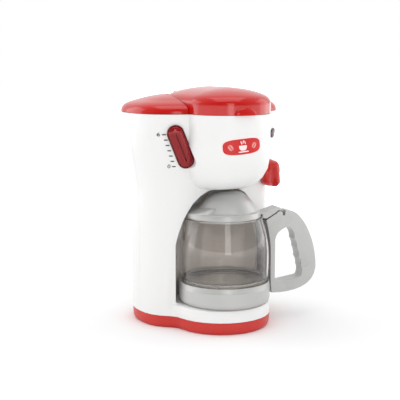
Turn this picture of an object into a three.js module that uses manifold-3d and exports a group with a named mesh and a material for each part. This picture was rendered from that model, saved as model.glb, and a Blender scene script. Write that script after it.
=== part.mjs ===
import * as THREE from 'three';
import { mergeVertices } from 'three/addons/utils/BufferGeometryUtils.js';
import Module from 'manifold-3d';

// A toy coffee maker with a lift-out jug. Millimetres, +Z up, the front faces -Y.
// The origin is in the plane that the base stands on, under the axis of the jug.

const wasm = await Module();
wasm.setup();

// Driving dimensions: the column behind the jug

const bodyHalfWidth = 62;
const bodyHalfDepth = 40.6;
const bodyCentreY = 42.4;
const bodyRoundShare = 0.769;
const rimFlare = 8.4;
const flareDrop = 75;
const flareStraight = 7;
const wall = 2;
const seamY = 41;

// Driving dimensions: the base and the plate that the jug stands on

const baseHeight = 10.5;
const baseTuck = 2.6;
const floorThickness = 3.2;
const plateRise = 10.7;
const plateRadius = 43.1;
const plateCentreY = 6;
const plateEdge = 3;
const waistBlend = 9;

// Driving dimensions: the head over the jug

const headHeight = 65;
const headRadius = 36.8;
const headCentreY = -3.8;
const headUnderRise = 30;
const lipHalfWidth = 17.5;
const lipCentreY = 16;
const lipReach = 20;

// Driving dimensions: the niche that the jug stands in

const nicheGap = 4.7;
const nicheHeadroom = 2;
const nicheStraight = 42.5;
const nicheFoot = 5;
const nicheFlatHalf = 8;
const linerWall = 1.8;

// Driving dimensions: the two red lids

const domeRise = 21.8;
const domeRearReach = 66.7;
const coverRise = 16.1;
const lidWall = 2;
const tabHalfWidth = 9.6;
const tabRise = 6.4;
const tabReach = 2.6;
const tabTurn = THREE.MathUtils.degToRad(-8);
const hingePinRadius = 1.1;
const hingePinLength = 27;
const knuckleRadius = 2.1;
const knuckleLength = 17;
const hingeRise = 0.6;
const webReach = 8;

// Driving dimensions: the jug

const jugBaseRadius = 39.8;
const jugBaseHeight = 17.2;
const jugBaseTopRadius = 39.3;
const jugTuck = 5;
const jugCrease = 0.4;
const jugShoulder = 3;
const jugLip = 1.4;
const jugBodyHeight = 57;
const jugSeatRadius = 38.2;
const jugBellyRadius = 38.9;
const jugRimRadius = 32.6;
const glassWall = 1.8;
const spoutReach = 35.6;
const spoutLength = 14;
const spoutHalfWidth = 20.5;
const spoutTipRadius = 1.5;
const spoutDrop = 20;
const jugTurn = THREE.MathUtils.degToRad(-10);

// Driving dimensions: the jug's lid and lever

const lidFlangeRadius = 31.3;
const lidRise = 21.8;
const jugLidWall = 1.8;
const skirtDepth = 1.8;
const beakReach = 33.6;
const beakRoot = 20;
const beakHalfWidth = 18.5;
const beakRootRise = 9.3;
const beakTipRise = 3.9;
const leverRise = 6.8;
const leverRootGap = 0.8;

// Driving dimensions: the handle

const handleThickness = 12.6;
const handleReach = 86;
const handleTop = 99;
const handleBottom = 25.6;
const pivotPinRadius = 1.1;
const pivotKnuckleRadius = 2.3;
const pinInset = 1.3;
const slotHalf = 3.3;
const slotFront = 7;
const slotRear = 4.7;
const slotDepth = 4;
const tongueThickness = 3;
const tongueRoot = 34;
const upperTongueReach = 50;
const upperTongueDrop = 10;
const upperTongueHeight = 4;
const lowerTongueReach = 56;
const lowerTongueDrop = 9;
const lowerTongueHeight = 3.4;
const bracketHalfAngle = THREE.MathUtils.degToRad(16);
const bracketWall = 1.8;
const bracketFootGap = 2;
const bracketTopGap = 4;

// Driving dimensions: the fittings on the front

const padDepth = 4.6;
const cutReach = 50;
const gaugeWidth = 13;
const gaugeLength = 37.5;
const gaugeX = -42.6;
const gaugeDrop = 27;
const gaugeTilt = THREE.MathUtils.degToRad(22);
const gaugeBulge = 2.6;
const gaugeEdge = 2.3;
const gaugePadMargin = 3;
const gaugeFlange = 1.4;
const gaugeFlangeMargin = 2;
const gaugeBackThickness = 1.2;
const gaugeTubeRadius = 2.2;
const gaugeTubeMargin = 3.5;
const gaugeRoomMargin = 4;
const gaugeRoomDepth = 20;
const lampRadius = 3.65;
const lampX = 53;
const lampDrop = 19.5;
const lampPadMargin = 2.5;
const lampWall = 1.2;
const lampFlange = 1.4;
const lampDepth = 6;
const lampRise = 1.5;
const ledRadius = 2;
const knobRadius = 11.8;
const knobBodyHeight = 8.8;
const knobHeight = 12.7;
const knobEdge = 3.2;
const knobX = 49.5;
const knobRise = 10.6;
const knobPadRise = 1.1;
const knobPadMargin = 1;
const knobRest = THREE.MathUtils.degToRad(24);
const knobSwing = THREE.MathUtils.degToRad(-10);
const gripThickness = 4.8;
const gripEdge = 1;
const gripCorner = 4.5;
const gripInset = 0.5;
const shaftRadius = 2.9;
const shaftGrip = 6;
const switchRadius = 8;
const switchDepth = 9;
const switchFloor = 2;

// Driving dimensions: batteries, works and fasteners

const batteryRadius = 7.1;
const batteryLength = 50;
const batteryNub = 1;
const batteryGap = 1.2;
const contactRoom = 3.5;
const contactThickness = 0.6;
const coneRadius = 3.4;
const coneTipRadius = 2.2;
const boxWall = 1.4;
const doorRecess = 0.5;
const doorTabLength = 11;
const doorTabHalf = 6;
const doorTabTop = 2.1;
const doorScrewGap = 5;
const doorBossRise = 5;
const screwRadius = 1.1;
const screwHeadRadius = 2.7;
const screwHeadHeight = 1.2;
const baseScrewLength = 12;
const doorScrewLength = 6;
const coverScrewLength = 18;
const coverScrewGrip = 14;
const coverSeatGap = 9;
const boardScrewLength = 9;
const handleScrewLength = 8.4;
const handleScrewSink = 1.2;
const handleScrewFloor = 1.4;
const bossRadius = 3.6;
const speakerRadius = 17;
const speakerDepth = 12;
const speakerGap = 3;
const speakerRise = 42;
const ringWall = 1.6;
const ringOffset = 4;
const grillePitch = 4.2;
const grilleHalfSlot = 0.8;
const grilleMargin = 4;
const boardWidth = 42;
const boardHeight = 34;
const boardThickness = 1.6;
const boardInset = 18;
const boardRise = 4;
const boardScrewInset = 5;
const chipWidth = 10;
const chipHeight = 8;
const chipDepth = 2.4;
const chipRise = 4;
const capacitorRadius = 3;
const capacitorLength = 7;
const leadRadius = 1.1;
const leadHoleX = -10;
const leadHoleGap = 3;
const leadEnd = 3;
const leadApproach = 6;
const leadDrop = 9;
const deckDrop = 5;
const basketRadius = 26;
const basketDepth = 36;
const basketFlange = 4;
const basketWall = 1.6;
const basketOutlet = 3;

// Clearances and mesh fineness

const fit = 0.3;
const play = 0.4;
const overrun = 1;
const far = 400;
const outlineSteps = 48;
const roundSteps = 32;
const fineSteps = 28;
const mediumSteps = 20;
const evenSteps = 16;
const smallSteps = 8;
const cornerSteps = 4;
const bevelSteps = 3;
const halvings = 40;
const leadSteps = 14;
const weldTolerance = 1e-4;

// Heights and places that follow from the dimensions above

const housingFoot = baseHeight + fit;
const plateTop = baseHeight + plateRise + fit;
const deckFoot = plateTop - wall;
const jugFoot = plateTop + fit;
const glassFoot = jugFoot + jugBaseHeight;
const jugRim = glassFoot + jugBodyHeight;
const jugLidFoot = jugRim + fit;
const nicheTop = jugLidFoot + lidRise + nicheHeadroom;
const rim = nicheTop + headHeight;
const lidFoot = rim + fit;
const nicheRadius = jugBaseRadius + nicheGap;
const nicheSpring = plateTop + nicheStraight;
const planCentreY = (plateCentreY + bodyCentreY) / 2;
const rimHalfWidth = bodyHalfWidth + rimFlare;
const rimHalfDepth = bodyHalfDepth + rimFlare;
const bodyRear = bodyCentreY + bodyHalfDepth;

// Shared finishes

const finish = (color, roughness, extra = {}) =>
  new THREE.MeshStandardMaterial({ color, roughness, metalness: 0, ...extra });
const finishes = {
  white: () => finish(0xf4f3f0, 0.28),
  red: () => finish(0xcf1b16, 0.24),
  grey: () => finish(0xbfc0be, 0.34),
  clear: () => finish(0xb9b2ae, 0.08, { transparent: true, opacity: 0.4 }),
  ruby: () => finish(0x9b1520, 0.12, { transparent: true, opacity: 0.75 }),
  smoke: () => finish(0x6a6062, 0.2),
  board: () => finish(0x2f7a45, 0.5),
  black: () => finish(0x202020, 0.5),
  steel: () => finish(0xb8bcc0, 0.35, { metalness: 0.9 }),
};

// Solids: closed geometry in, closed geometry out

function solidOf(geometry) {
  const bare = new THREE.BufferGeometry();
  bare.setAttribute('position', geometry.getAttribute('position').clone());
  if (geometry.index) bare.setIndex(geometry.index.clone());
  const welded = mergeVertices(bare, weldTolerance);
  const points = welded.getAttribute('position');
  const source = welded.index.array;
  const corner = [new THREE.Vector3(), new THREE.Vector3(), new THREE.Vector3()];
  const faces = [];
  let volume = 0;
  for (let i = 0; i < source.length; i += 3) {
    const [a, b, c] = [source[i], source[i + 1], source[i + 2]];
    if (a === b || b === c || c === a) continue;
    corner.forEach((point, k) => point.fromBufferAttribute(points, source[i + k]));
    volume += corner[0].dot(corner[1].clone().cross(corner[2]));
    faces.push([a, b, c]);
  }
  const triVerts = Uint32Array.from((volume < 0 ? faces.map(([a, b, c]) => [a, c, b]) : faces).flat());
  const vertProperties = Float32Array.from(points.array);
  return new wasm.Manifold(new wasm.Mesh({ numProp: 3, vertProperties, triVerts }));
}

function union(...solids) {
  return solids.reduce((sum, next) => sum.add(next));
}

function cut(solid, ...tools) {
  return tools.reduce((rest, tool) => rest.subtract(tool), solid);
}

function placed(geometry, x, y, z) {
  geometry.translate(x, y, z);
  return solidOf(geometry);
}

function seated(geometry, frame) {
  geometry.applyMatrix4(frame);
  return solidOf(geometry);
}

function meshOf(name, solid, material) {
  const { vertProperties, triVerts } = solid.getMesh();
  const geometry = new THREE.BufferGeometry();
  geometry.setAttribute('position', new THREE.BufferAttribute(Float32Array.from(vertProperties), 3));
  geometry.setIndex(new THREE.BufferAttribute(Uint32Array.from(triVerts), 1));
  geometry.computeVertexNormals();
  const mesh = new THREE.Mesh(geometry, material);
  mesh.name = name;
  return mesh;
}

// Primitive shapes, each made from a three.js geometry

function box([x0, x1], [y0, y1], [z0, z1]) {
  const geometry = new THREE.BoxGeometry(x1 - x0, y1 - y0, z1 - z0);
  return placed(geometry, (x0 + x1) / 2, (y0 + y1) / 2, (z0 + z1) / 2);
}

// A revolved shape about +Z. The profile is a list of [radius, height] that closes on itself or the axis.
function turned(profile, steps = roundSteps) {
  const closed = [...profile, profile[0]].map(([r, z]) => new THREE.Vector2(r, z));
  const geometry = new THREE.LatheGeometry(closed, steps);
  geometry.rotateX(Math.PI / 2);
  return geometry;
}

function rod(radius, z0, z1, steps = smallSteps, topRadius = radius) {
  return turned([[0, z0], [radius, z0], [topRadius, z1], [0, z1]], steps);
}

function rodAlongX(radius, x0, x1, y, z, steps = smallSteps, tipRadius = radius) {
  const geometry = rod(radius, x0, x1, steps, tipRadius);
  geometry.rotateY(Math.PI / 2);
  return placed(geometry, 0, y, z);
}

function rodAlongY(radius, x, z, y0, y1, steps = smallSteps) {
  const geometry = rod(radius, y0, y1, steps);
  geometry.rotateX(-Math.PI / 2);
  return placed(geometry, x, 0, z);
}

function prism(shape, z0, z1) {
  const geometry = new THREE.ExtrudeGeometry(shape, {
    depth: z1 - z0, bevelEnabled: false, curveSegments: smallSteps,
  });
  geometry.translate(0, 0, z0);
  return geometry;
}

// A prism with rounded edges that stays inside the shape's outline
function softPrism(shape, z0, z1, edge) {
  const geometry = new THREE.ExtrudeGeometry(shape, {
    depth: z1 - z0 - 2 * edge, curveSegments: smallSteps,
    bevelThickness: edge, bevelSize: edge, bevelOffset: -edge, bevelSegments: bevelSteps,
  });
  geometry.translate(0, 0, z0 + edge);
  return geometry;
}

// Stands a prism up: the shape's y then runs up and its depth runs along +Y
function upright(geometry, depth) {
  geometry.rotateX(Math.PI / 2);
  geometry.translate(0, depth, 0);
  return geometry;
}

function standingPrism(shape, y0, y1) {
  return upright(prism(shape, 0, y1 - y0), y1);
}

function capsuleShape(width, length) {
  const radius = width / 2;
  const half = length / 2 - radius;
  const shape = new THREE.Shape();
  shape.moveTo(radius, -half);
  shape.lineTo(radius, half);
  shape.absarc(0, half, radius, 0, Math.PI);
  shape.lineTo(-radius, -half);
  shape.absarc(0, -half, radius, Math.PI, 2 * Math.PI);
  return shape;
}

// An outline from rows of shares: two make a line, four a quadratic curve and six a cubic one
function outlineOf(rows, place) {
  const shape = new THREE.Shape();
  rows.forEach((row, i) => {
    const points = [];
    for (let k = 0; k < row.length; k += 2) points.push(...place(row[k], row[k + 1]));
    if (i === 0) shape.moveTo(...points);
    else if (row.length === 2) shape.lineTo(...points);
    else if (row.length === 4) shape.quadraticCurveTo(...points);
    else shape.bezierCurveTo(...points);
  });
  return shape;
}

// A skin through rings of points, listed from the lowest to the highest, closed by two fans
function loft(rings) {
  const count = rings[0].length;
  const points = rings.flat();
  const middle = (ring) => ring.reduce((sum, point) => sum.add(point), new THREE.Vector3())
    .divideScalar(count);
  points.push(middle(rings[0]), middle(rings.at(-1)));
  const last = (rings.length - 1) * count;
  const index = [];
  for (let i = 0; i < count; i++) {
    const j = (i + 1) % count;
    for (let row = 0; row < last; row += count) {
      index.push(row + i, row + j, row + count + j, row + i, row + count + j, row + count + i);
    }
    index.push(points.length - 2, j, i, points.length - 1, last + i, last + j);
  }
  const geometry = new THREE.BufferGeometry();
  const places = points.flatMap((p) => p.toArray());
  geometry.setAttribute('position', new THREE.Float32BufferAttribute(places, 3));
  geometry.setIndex(index);
  return solidOf(geometry);
}

function screw(length) {
  return turned([
    [0, 0], [screwHeadRadius, 0], [screwHeadRadius, screwHeadHeight], [screwRadius, screwHeadHeight],
    [screwRadius, length], [0, length],
  ], smallSteps);
}

// Plan outlines, seen from above

const circle = (steps) => Array.from({ length: steps }, (_, i) => (i * 2 * Math.PI) / steps);
const turns = circle(outlineSteps);
const signedPower = (value, power) => Math.sign(value) * Math.abs(value) ** power;

function flare(z) {
  const t = THREE.MathUtils.clamp((z - (rim - flareDrop)) / (flareDrop - flareStraight), 0, 1);
  return rimFlare * t * t * (3 - 2 * t);
}

// Distance from the plan centre to the column's outline, grown outwards by the given amount
function columnRadius(turn, grow) {
  const a = bodyHalfWidth + grow;
  const b = bodyHalfDepth + grow;
  const power = 2 / bodyRoundShare;
  let low = 0;
  let high = far;
  for (let i = 0; i < halvings; i++) {
    const r = (low + high) / 2;
    const x = (r * Math.cos(turn)) / a;
    const y = (planCentreY + r * Math.sin(turn) - bodyCentreY) / b;
    if (Math.abs(x) ** power + Math.abs(y) ** power < 1) low = r;
    else high = r;
  }
  return low;
}

// Distance from the plan centre to the plate's round outline
function plateRadiusAt(turn, grow) {
  const offset = (planCentreY - plateCentreY) * Math.sin(turn);
  const reach = (plateRadius + grow) ** 2 - ((planCentreY - plateCentreY) * Math.cos(turn)) ** 2;
  return reach < 0 ? 0 : Math.max(0, Math.sqrt(reach) - offset);
}

// Column and plate together, with the waist between them filled by a soft blend
function footprintRadius(turn, grow) {
  const a = columnRadius(turn, grow);
  const b = plateRadiusAt(turn, grow);
  const near = Math.max(0, 1 - Math.abs(a - b) / waistBlend);
  return Math.max(a, b) + (near * near * waistBlend) / 4;
}

function planRing(z, radiusAt, grow) {
  return turns.map((turn) => {
    const r = radiusAt(turn, grow);
    return new THREE.Vector3(r * Math.cos(turn), planCentreY + r * Math.sin(turn), z);
  });
}

// A closed ring with its own reach to the front and rear.
// A round share of 1 makes an ellipse, and a smaller one a boxier ring.
function ovalRing(z, centreY, halfWidth, frontReach, rearReach, frontShare = 1, rearShare = frontShare) {
  return turns.map((turn) => {
    const front = turn > Math.PI;
    const share = front ? frontShare : rearShare;
    const x = halfWidth * signedPower(Math.cos(turn), share);
    const y = (front ? frontReach : rearReach) * signedPower(Math.sin(turn), share);
    return new THREE.Vector3(x, centreY + y, z);
  });
}

function headRing(z, inset) {
  return ovalRing(z, headCentreY, headRadius - inset, headRadius - inset, headRadius - inset);
}

// A ring about the jug's axis, moved along X, with half lengths along X and Y
function jugRing(z, centreX, halfLength, halfWidth, steps = roundSteps) {
  return circle(steps).map((turn) => new THREE.Vector3(
    centreX + halfLength * Math.cos(turn), halfWidth * Math.sin(turn), z));
}

// A quarter round edge: [inset, height] pairs that run from the wall up to the face
function roundEdge(radius, steps = 2) {
  return Array.from({ length: steps + 1 }, (_, i) => {
    const turn = (i / steps) * (Math.PI / 2);
    return [radius * (1 - Math.cos(turn)), radius * Math.sin(turn)];
  });
}

// The housing's outer or inner skin, moved inwards by the given inset

const columnLevelShares = [0, 0.2, 0.4, 0.6, 0.8, 1];
const columnLevels = columnLevelShares.map((share) => (
  THREE.MathUtils.lerp(rim - flareDrop, rim - flareStraight, share)));

function column(inset, foot, top) {
  const levels = [foot, ...columnLevels.filter((z) => z > foot && z < top), top];
  return loft(levels.map((z) => planRing(z, columnRadius, flare(z) - inset)));
}

function plateBlock(inset, foot) {
  const top = plateTop - inset;
  const edge = roundEdge(plateEdge);
  return loft([
    planRing(foot, footprintRadius, -inset),
    ...edge.map(([tuck, rise]) => planRing(top - plateEdge + rise, footprintRadius, -inset - tuck)),
  ]);
}

const headRiseShares = [0, 0.05, 0.16, 0.36, 0.62, 1];
const lipRoundShare = 0.667;

function head(inset, top) {
  const foot = nicheTop + inset;
  const rings = headRiseShares.map((share) => {
    const spread = Math.sqrt(1 - (1 - share) ** 2);
    const centreY = THREE.MathUtils.lerp(lipCentreY, headCentreY, spread);
    const halfWidth = THREE.MathUtils.lerp(lipHalfWidth, headRadius, spread) - inset;
    const reach = THREE.MathUtils.lerp(lipReach, headRadius, spread) - inset;
    const roundShare = THREE.MathUtils.lerp(lipRoundShare, 1, spread);
    return ovalRing(foot + share * headUnderRise, centreY, halfWidth, reach, reach, roundShare);
  });
  rings.push(headRing(top, inset));
  return loft(rings);
}

// The niche: an arch seen from the front, with a round back seen from above

const leanShare = 0.966;
const leanRiseShare = 0.432;
const shoulderShare = 0.674;

function archShape(grow, foot) {
  const half = nicheRadius + grow;
  const top = nicheTop + grow;
  const lean = nicheSpring + leanRiseShare * (top - nicheSpring);
  const shape = new THREE.Shape();
  shape.moveTo(nicheFoot - half, foot);
  shape.lineTo(half - nicheFoot, foot);
  shape.quadraticCurveTo(half, foot, half, foot + nicheFoot);
  shape.lineTo(half, nicheSpring);
  shape.bezierCurveTo(leanShare * half, lean, shoulderShare * half, top, nicheFlatHalf, top);
  shape.lineTo(-nicheFlatHalf, top);
  shape.bezierCurveTo(-shoulderShare * half, top, -leanShare * half, lean, -half, nicheSpring);
  shape.lineTo(-half, foot + nicheFoot);
  shape.quadraticCurveTo(-half, foot, nicheFoot - half, foot);
  return shape;
}

function nicheSpace(grow, foot) {
  const half = nicheRadius + grow;
  const plan = new THREE.Shape();
  plan.moveTo(-half, -far);
  plan.lineTo(half, -far);
  plan.lineTo(half, 0);
  plan.absarc(0, 0, half, 0, Math.PI);
  const arch = solidOf(standingPrism(archShape(grow, foot), -far, far));
  return arch.intersect(solidOf(prism(plan, -overrun, nicheTop + far)));
}

// A frame that sits on the column's front face: local Z points out of the face and local Y points up.
// Swing turns it about its own Y, then turn about its own Z.

function faceY(x, z) {
  const a = bodyHalfWidth + flare(z);
  const b = bodyHalfDepth + flare(z);
  const power = 2 / bodyRoundShare;
  return bodyCentreY - b * (1 - Math.abs(x / a) ** power) ** (1 / power);
}

function faceFrame(x, z, turn = 0, swing = 0) {
  const slopeX = (faceY(x + overrun, z) - faceY(x - overrun, z)) / (2 * overrun);
  const slopeZ = (faceY(x, z + overrun) - faceY(x, z - overrun)) / (2 * overrun);
  const out = new THREE.Vector3(slopeX, -1, slopeZ).normalize();
  const across = new THREE.Vector3(0, 0, 1).cross(out).normalize();
  const up = out.clone().cross(across);
  return new THREE.Matrix4().makeTranslation(x, faceY(x, z), z)
    .multiply(new THREE.Matrix4().makeBasis(across, up, out))
    .multiply(new THREE.Matrix4().makeRotationY(swing))
    .multiply(new THREE.Matrix4().makeRotationZ(turn));
}

const gaugeFrame = faceFrame(gaugeX, rim - gaugeDrop, gaugeTilt);
const lampFrame = faceFrame(lampX, rim - lampDrop);
const knobFrame = faceFrame(knobX, nicheTop + knobRise, 0, knobSwing);

// Screw places, as shares of the sizes of what the screws hold

const frontScrewShares = [0.557, -0.371];
const rearScrewShares = [0.613, 0.532];
const coverScrewShares = [0.855, 0.113, 0.504];
const bothSides = [-1, 1];
const frontBaseScrews = bothSides.map((side) => [
  side * frontScrewShares[0] * plateRadius, plateCentreY + frontScrewShares[1] * plateRadius]);
const rearBaseScrews = bothSides.map((side) => [
  side * rearScrewShares[0] * bodyHalfWidth, bodyCentreY + rearScrewShares[1] * bodyHalfDepth]);
const baseScrewPlaces = [...frontBaseScrews, ...rearBaseScrews];
const coverScrewPlaces = coverScrewShares.slice(1).flatMap((share) => bothSides.map((side) => [
  side * coverScrewShares[0] * bodyHalfWidth, THREE.MathUtils.lerp(plateTop, rim, share)]));
const pilotRadius = screwRadius + fit;
const headClearRadius = screwHeadRadius + play;

function baseScrews() {
  return baseScrewPlaces.map(([x, y], i) => (
    meshOf(`base_screw_${i + 1}`, placed(screw(baseScrewLength), x, y, fit), finishes.steel())));
}

function baseScrewPilots() {
  return baseScrewPlaces.map(([x, y]) => (
    placed(rod(pilotRadius, floorThickness, fit + baseScrewLength + overrun), x, y, 0)));
}

function baseScrewBosses(places) {
  return places.map(([x, y]) => placed(rod(bossRadius, floorThickness + fit, plateTop - overrun), x, y, 0));
}

// Base tray, battery door and battery box

const tuckShares = [[0, 1], [0.1, 0.55], [0.3, 0.22], [0.6, 0.06], [1, 0]];

function trayBlock(foot, top) {
  return loft(tuckShares.map(([rise, tuck]) => planRing(
    foot + rise * (top - foot), footprintRadius, -tuck * baseTuck)));
}

const boxLength = batteryLength + 2 * contactRoom;
const batteryPitch = 2 * batteryRadius + batteryGap;
const boxHalfWidth = batteryPitch / 2 + batteryRadius + play;
const batteryZ = floorThickness + fit + batteryRadius;
const doorScrewX = boxLength / 2 + boxWall + doorScrewGap;

function besideBodyCentre(half) {
  return [bodyCentreY - half, bodyCentreY + half];
}

function baseTray() {
  const inside = loft([
    planRing(floorThickness, footprintRadius, -wall - baseTuck * tuckShares[2][1]),
    planRing(baseHeight + overrun, footprintRadius, -wall),
  ]);
  const boss = placed(rod(bossRadius, doorTabTop, floorThickness + doorBossRise),
    doorScrewX, bodyCentreY, 0);
  const holes = [
    ...baseScrewPlaces.map(([x, y]) => (
      placed(rod(headClearRadius, -overrun, 2 * fit + screwHeadHeight), x, y, 0))),
    ...baseScrewPlaces.map(([x, y]) => (
      placed(rod(pilotRadius, -overrun, floorThickness + overrun), x, y, 0))),
    placed(rod(pilotRadius, -overrun, floorThickness + doorBossRise - overrun), doorScrewX, bodyCentreY, 0),
    box([-boxLength / 2, boxLength / 2], besideBodyCentre(boxHalfWidth),
      [-overrun, floorThickness + overrun]),
    box([0, boxLength / 2 + doorTabLength], besideBodyCentre(doorTabHalf), [-overrun, doorTabTop + fit]),
  ];
  const tray = union(cut(trayBlock(0, baseHeight), inside), boss);
  return meshOf('base_tray', cut(tray, ...holes), finishes.red());
}

function batteryDoor() {
  const lid = box([fit - boxLength / 2, boxLength / 2 - fit], besideBodyCentre(boxHalfWidth - fit),
    [doorRecess, floorThickness]);
  const tab = box([0, boxLength / 2 + doorTabLength - fit], besideBodyCentre(doorTabHalf - fit),
    [doorRecess, doorTabTop]);
  const sink = rod(headClearRadius, -overrun, doorRecess + screwHeadHeight);
  const hole = rod(pilotRadius, -overrun, floorThickness + overrun);
  const tools = [sink, hole].map((tool) => placed(tool, doorScrewX, bodyCentreY, 0));
  return meshOf('battery_door', cut(union(lid, tab), ...tools), finishes.red());
}

function batteryDoorScrew() {
  const solid = placed(screw(doorScrewLength), doorScrewX, bodyCentreY, doorRecess - fit);
  return meshOf('battery_door_screw', solid, finishes.steel());
}

function batteryBox() {
  const foot = floorThickness + fit;
  const halfLength = boxLength / 2 + boxWall;
  const outer = box([-halfLength, halfLength], besideBodyCentre(boxHalfWidth + boxWall),
    [foot, deckFoot - fit]);
  const inner = box([-boxLength / 2, boxLength / 2], besideBodyCentre(boxHalfWidth),
    [foot - overrun, batteryZ + batteryRadius + play]);
  return meshOf('battery_box', cut(outer, inner), finishes.black());
}

const nubRadiusShare = 0.4;

function batteries() {
  const half = batteryLength / 2;
  const nubRadius = nubRadiusShare * batteryRadius;
  return bothSides.map((side, i) => {
    const geometry = turned([
      [0, -half], [batteryRadius, -half], [batteryRadius, half - batteryNub],
      [nubRadius, half - batteryNub], [nubRadius, half], [0, half],
    ], mediumSteps);
    geometry.rotateY(side * Math.PI / 2);
    const solid = placed(geometry, 0, bodyCentreY + side * batteryPitch / 2, batteryZ);
    return meshOf(`battery_${i + 1}`, solid, finishes.black());
  });
}

function batteryContacts() {
  const outerX = boxLength / 2 - fit;
  const tipX = batteryLength / 2 + fit;
  const heights = [floorThickness + overrun, batteryZ + batteryRadius - overrun];
  return [['left', -1], ['right', 1]].map(([label, side]) => {
    const span = [side * outerX, side * (outerX - contactThickness)].sort((a, b) => a - b);
    const plate = box(span, besideBodyCentre(boxHalfWidth - play), heights);
    const cones = bothSides.map((row) => {
      const y = bodyCentreY + row * batteryPitch / 2;
      return side < 0
        ? rodAlongX(coneRadius, -outerX, -tipX, y, batteryZ, smallSteps, coneTipRadius)
        : rodAlongX(coneTipRadius, tipX, outerX, y, batteryZ, smallSteps, coneRadius);
    });
    return meshOf(`battery_contact_${label}`, union(plate, ...cones), finishes.steel());
  });
}

// Housing shells

function housingShell() {
  const outer = union(plateBlock(0, housingFoot), column(0, housingFoot, rim), head(0, rim));
  const inner = union(
    plateBlock(wall, housingFoot - overrun),
    column(wall, plateTop, rim + overrun),
    head(wall, rim + overrun),
  );
  return { outer, shell: cut(outer, inner) };
}

const housing = housingShell();
const frontSide = box([-far, far], [-far, seamY - fit / 2], [-far, far]);
const rearSide = box([-far, far], [seamY + fit / 2, far], [-far, far]);

function frontHousing() {
  const gaugePad = capsuleShape(gaugeWidth + 2 * gaugePadMargin, gaugeLength + 2 * gaugePadMargin);
  const backings = [
    seated(prism(gaugePad, -padDepth, padDepth), gaugeFrame),
    seated(rod(lampRadius + lampPadMargin, -padDepth, padDepth), lampFrame),
    ...coverScrewPlaces.map(([x, z]) => rodAlongY(bossRadius, x, z, 0, seamY)),
  ].map((backing) => backing.intersect(housing.outer));
  const knobPad = seated(rod(knobRadius + knobPadMargin, -padDepth, knobPadRise, roundSteps), knobFrame);
  const body = union(housing.shell, ...backings, knobPad).intersect(frontSide);
  const gaugeHole = capsuleShape(gaugeWidth + 2 * play, gaugeLength + 2 * play);
  const holes = [
    nicheSpace(0, plateTop),
    seated(prism(gaugeHole, -cutReach, cutReach), gaugeFrame),
    seated(rod(lampRadius + fit, -cutReach, cutReach, mediumSteps), lampFrame),
    seated(rod(shaftRadius + fit, -cutReach, cutReach, evenSteps), knobFrame),
    ...coverScrewPlaces.map(([x, z]) => (
      rodAlongY(pilotRadius, x, z, seamY - coverScrewGrip, seamY + overrun))),
    ...baseScrewPilots(),
  ];
  const bosses = baseScrewBosses(frontBaseScrews);
  return meshOf('front_housing', cut(union(body, ...bosses), ...holes), finishes.white());
}

const speakerY = bodyRear - wall - speakerGap - speakerDepth;
const speakerZ = plateTop + speakerRise;
const boardY = bodyRear - boardInset;
const boardZ = nicheTop + boardRise;
const boardScrewPlaces = bothSides.map((side) => [side * (boardWidth / 2 - boardScrewInset), boardZ]);
const coverHeadY = seamY + coverSeatGap;
const leadHoleY = bodyCentreY + boxHalfWidth + boxWall + leadHoleGap;

function grilleSlots() {
  const radius = speakerRadius - grilleMargin;
  const rows = Math.floor(radius / grillePitch);
  const slots = [];
  for (let row = -rows; row <= rows; row++) {
    const half = Math.sqrt(radius ** 2 - (row * grillePitch) ** 2);
    const z = speakerZ + row * grillePitch;
    slots.push(box([-half, half], [speakerY + speakerDepth - overrun, far],
      [z - grilleHalfSlot, z + grilleHalfSlot]));
  }
  return slots;
}

function rearCover() {
  const reachY = bodyRear + rimFlare;
  const ring = cut(
    rodAlongY(speakerRadius + fit + ringWall, 0, speakerZ, speakerY + ringOffset, reachY, fineSteps),
    rodAlongY(speakerRadius + fit, 0, speakerZ, -far, speakerY + speakerDepth + fit, fineSteps),
  );
  const inside = [
    ...coverScrewPlaces.map(([x, z]) => rodAlongY(bossRadius, x, z, seamY + fit / 2, reachY)),
    ...boardScrewPlaces.map(([x, z]) => rodAlongY(bossRadius, x, z, boardY + boardThickness + fit, reachY)),
    ring,
  ].map((piece) => piece.intersect(housing.outer));
  const holes = [
    placed(rod(leadRadius + 2 * fit, deckFoot - overrun, plateTop + overrun), leadHoleX, leadHoleY, 0),
    ...grilleSlots(),
    ...coverScrewPlaces.map(([x, z]) => rodAlongY(pilotRadius, x, z, 0, far)),
    ...coverScrewPlaces.map(([x, z]) => rodAlongY(headClearRadius, x, z, coverHeadY, far)),
    ...boardScrewPlaces.map(([x, z]) => (
      rodAlongY(pilotRadius, x, z, boardY, boardY + boardScrewLength + overrun))),
    ...baseScrewPilots(),
  ];
  const body = union(housing.shell.intersect(rearSide), ...inside, ...baseScrewBosses(rearBaseScrews));
  return meshOf('rear_cover', cut(body, ...holes), finishes.white());
}

function coverScrews() {
  return coverScrewPlaces.map(([x, z], i) => {
    const geometry = screw(coverScrewLength);
    geometry.rotateX(Math.PI / 2);
    const solid = placed(geometry, x, coverHeadY + screwHeadHeight + fit, z);
    return meshOf(`cover_screw_${i + 1}`, solid, finishes.steel());
  });
}

function nicheLiner() {
  const room = column(wall + fit, plateTop + fit, rim);
  const outer = nicheSpace(linerWall, plateTop - overrun).intersect(room);
  return meshOf('niche_liner', cut(outer, nicheSpace(0, plateTop - overrun)), finishes.white());
}

// Head works: deck and coffee basket

const deckTop = rim - deckDrop;

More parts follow.
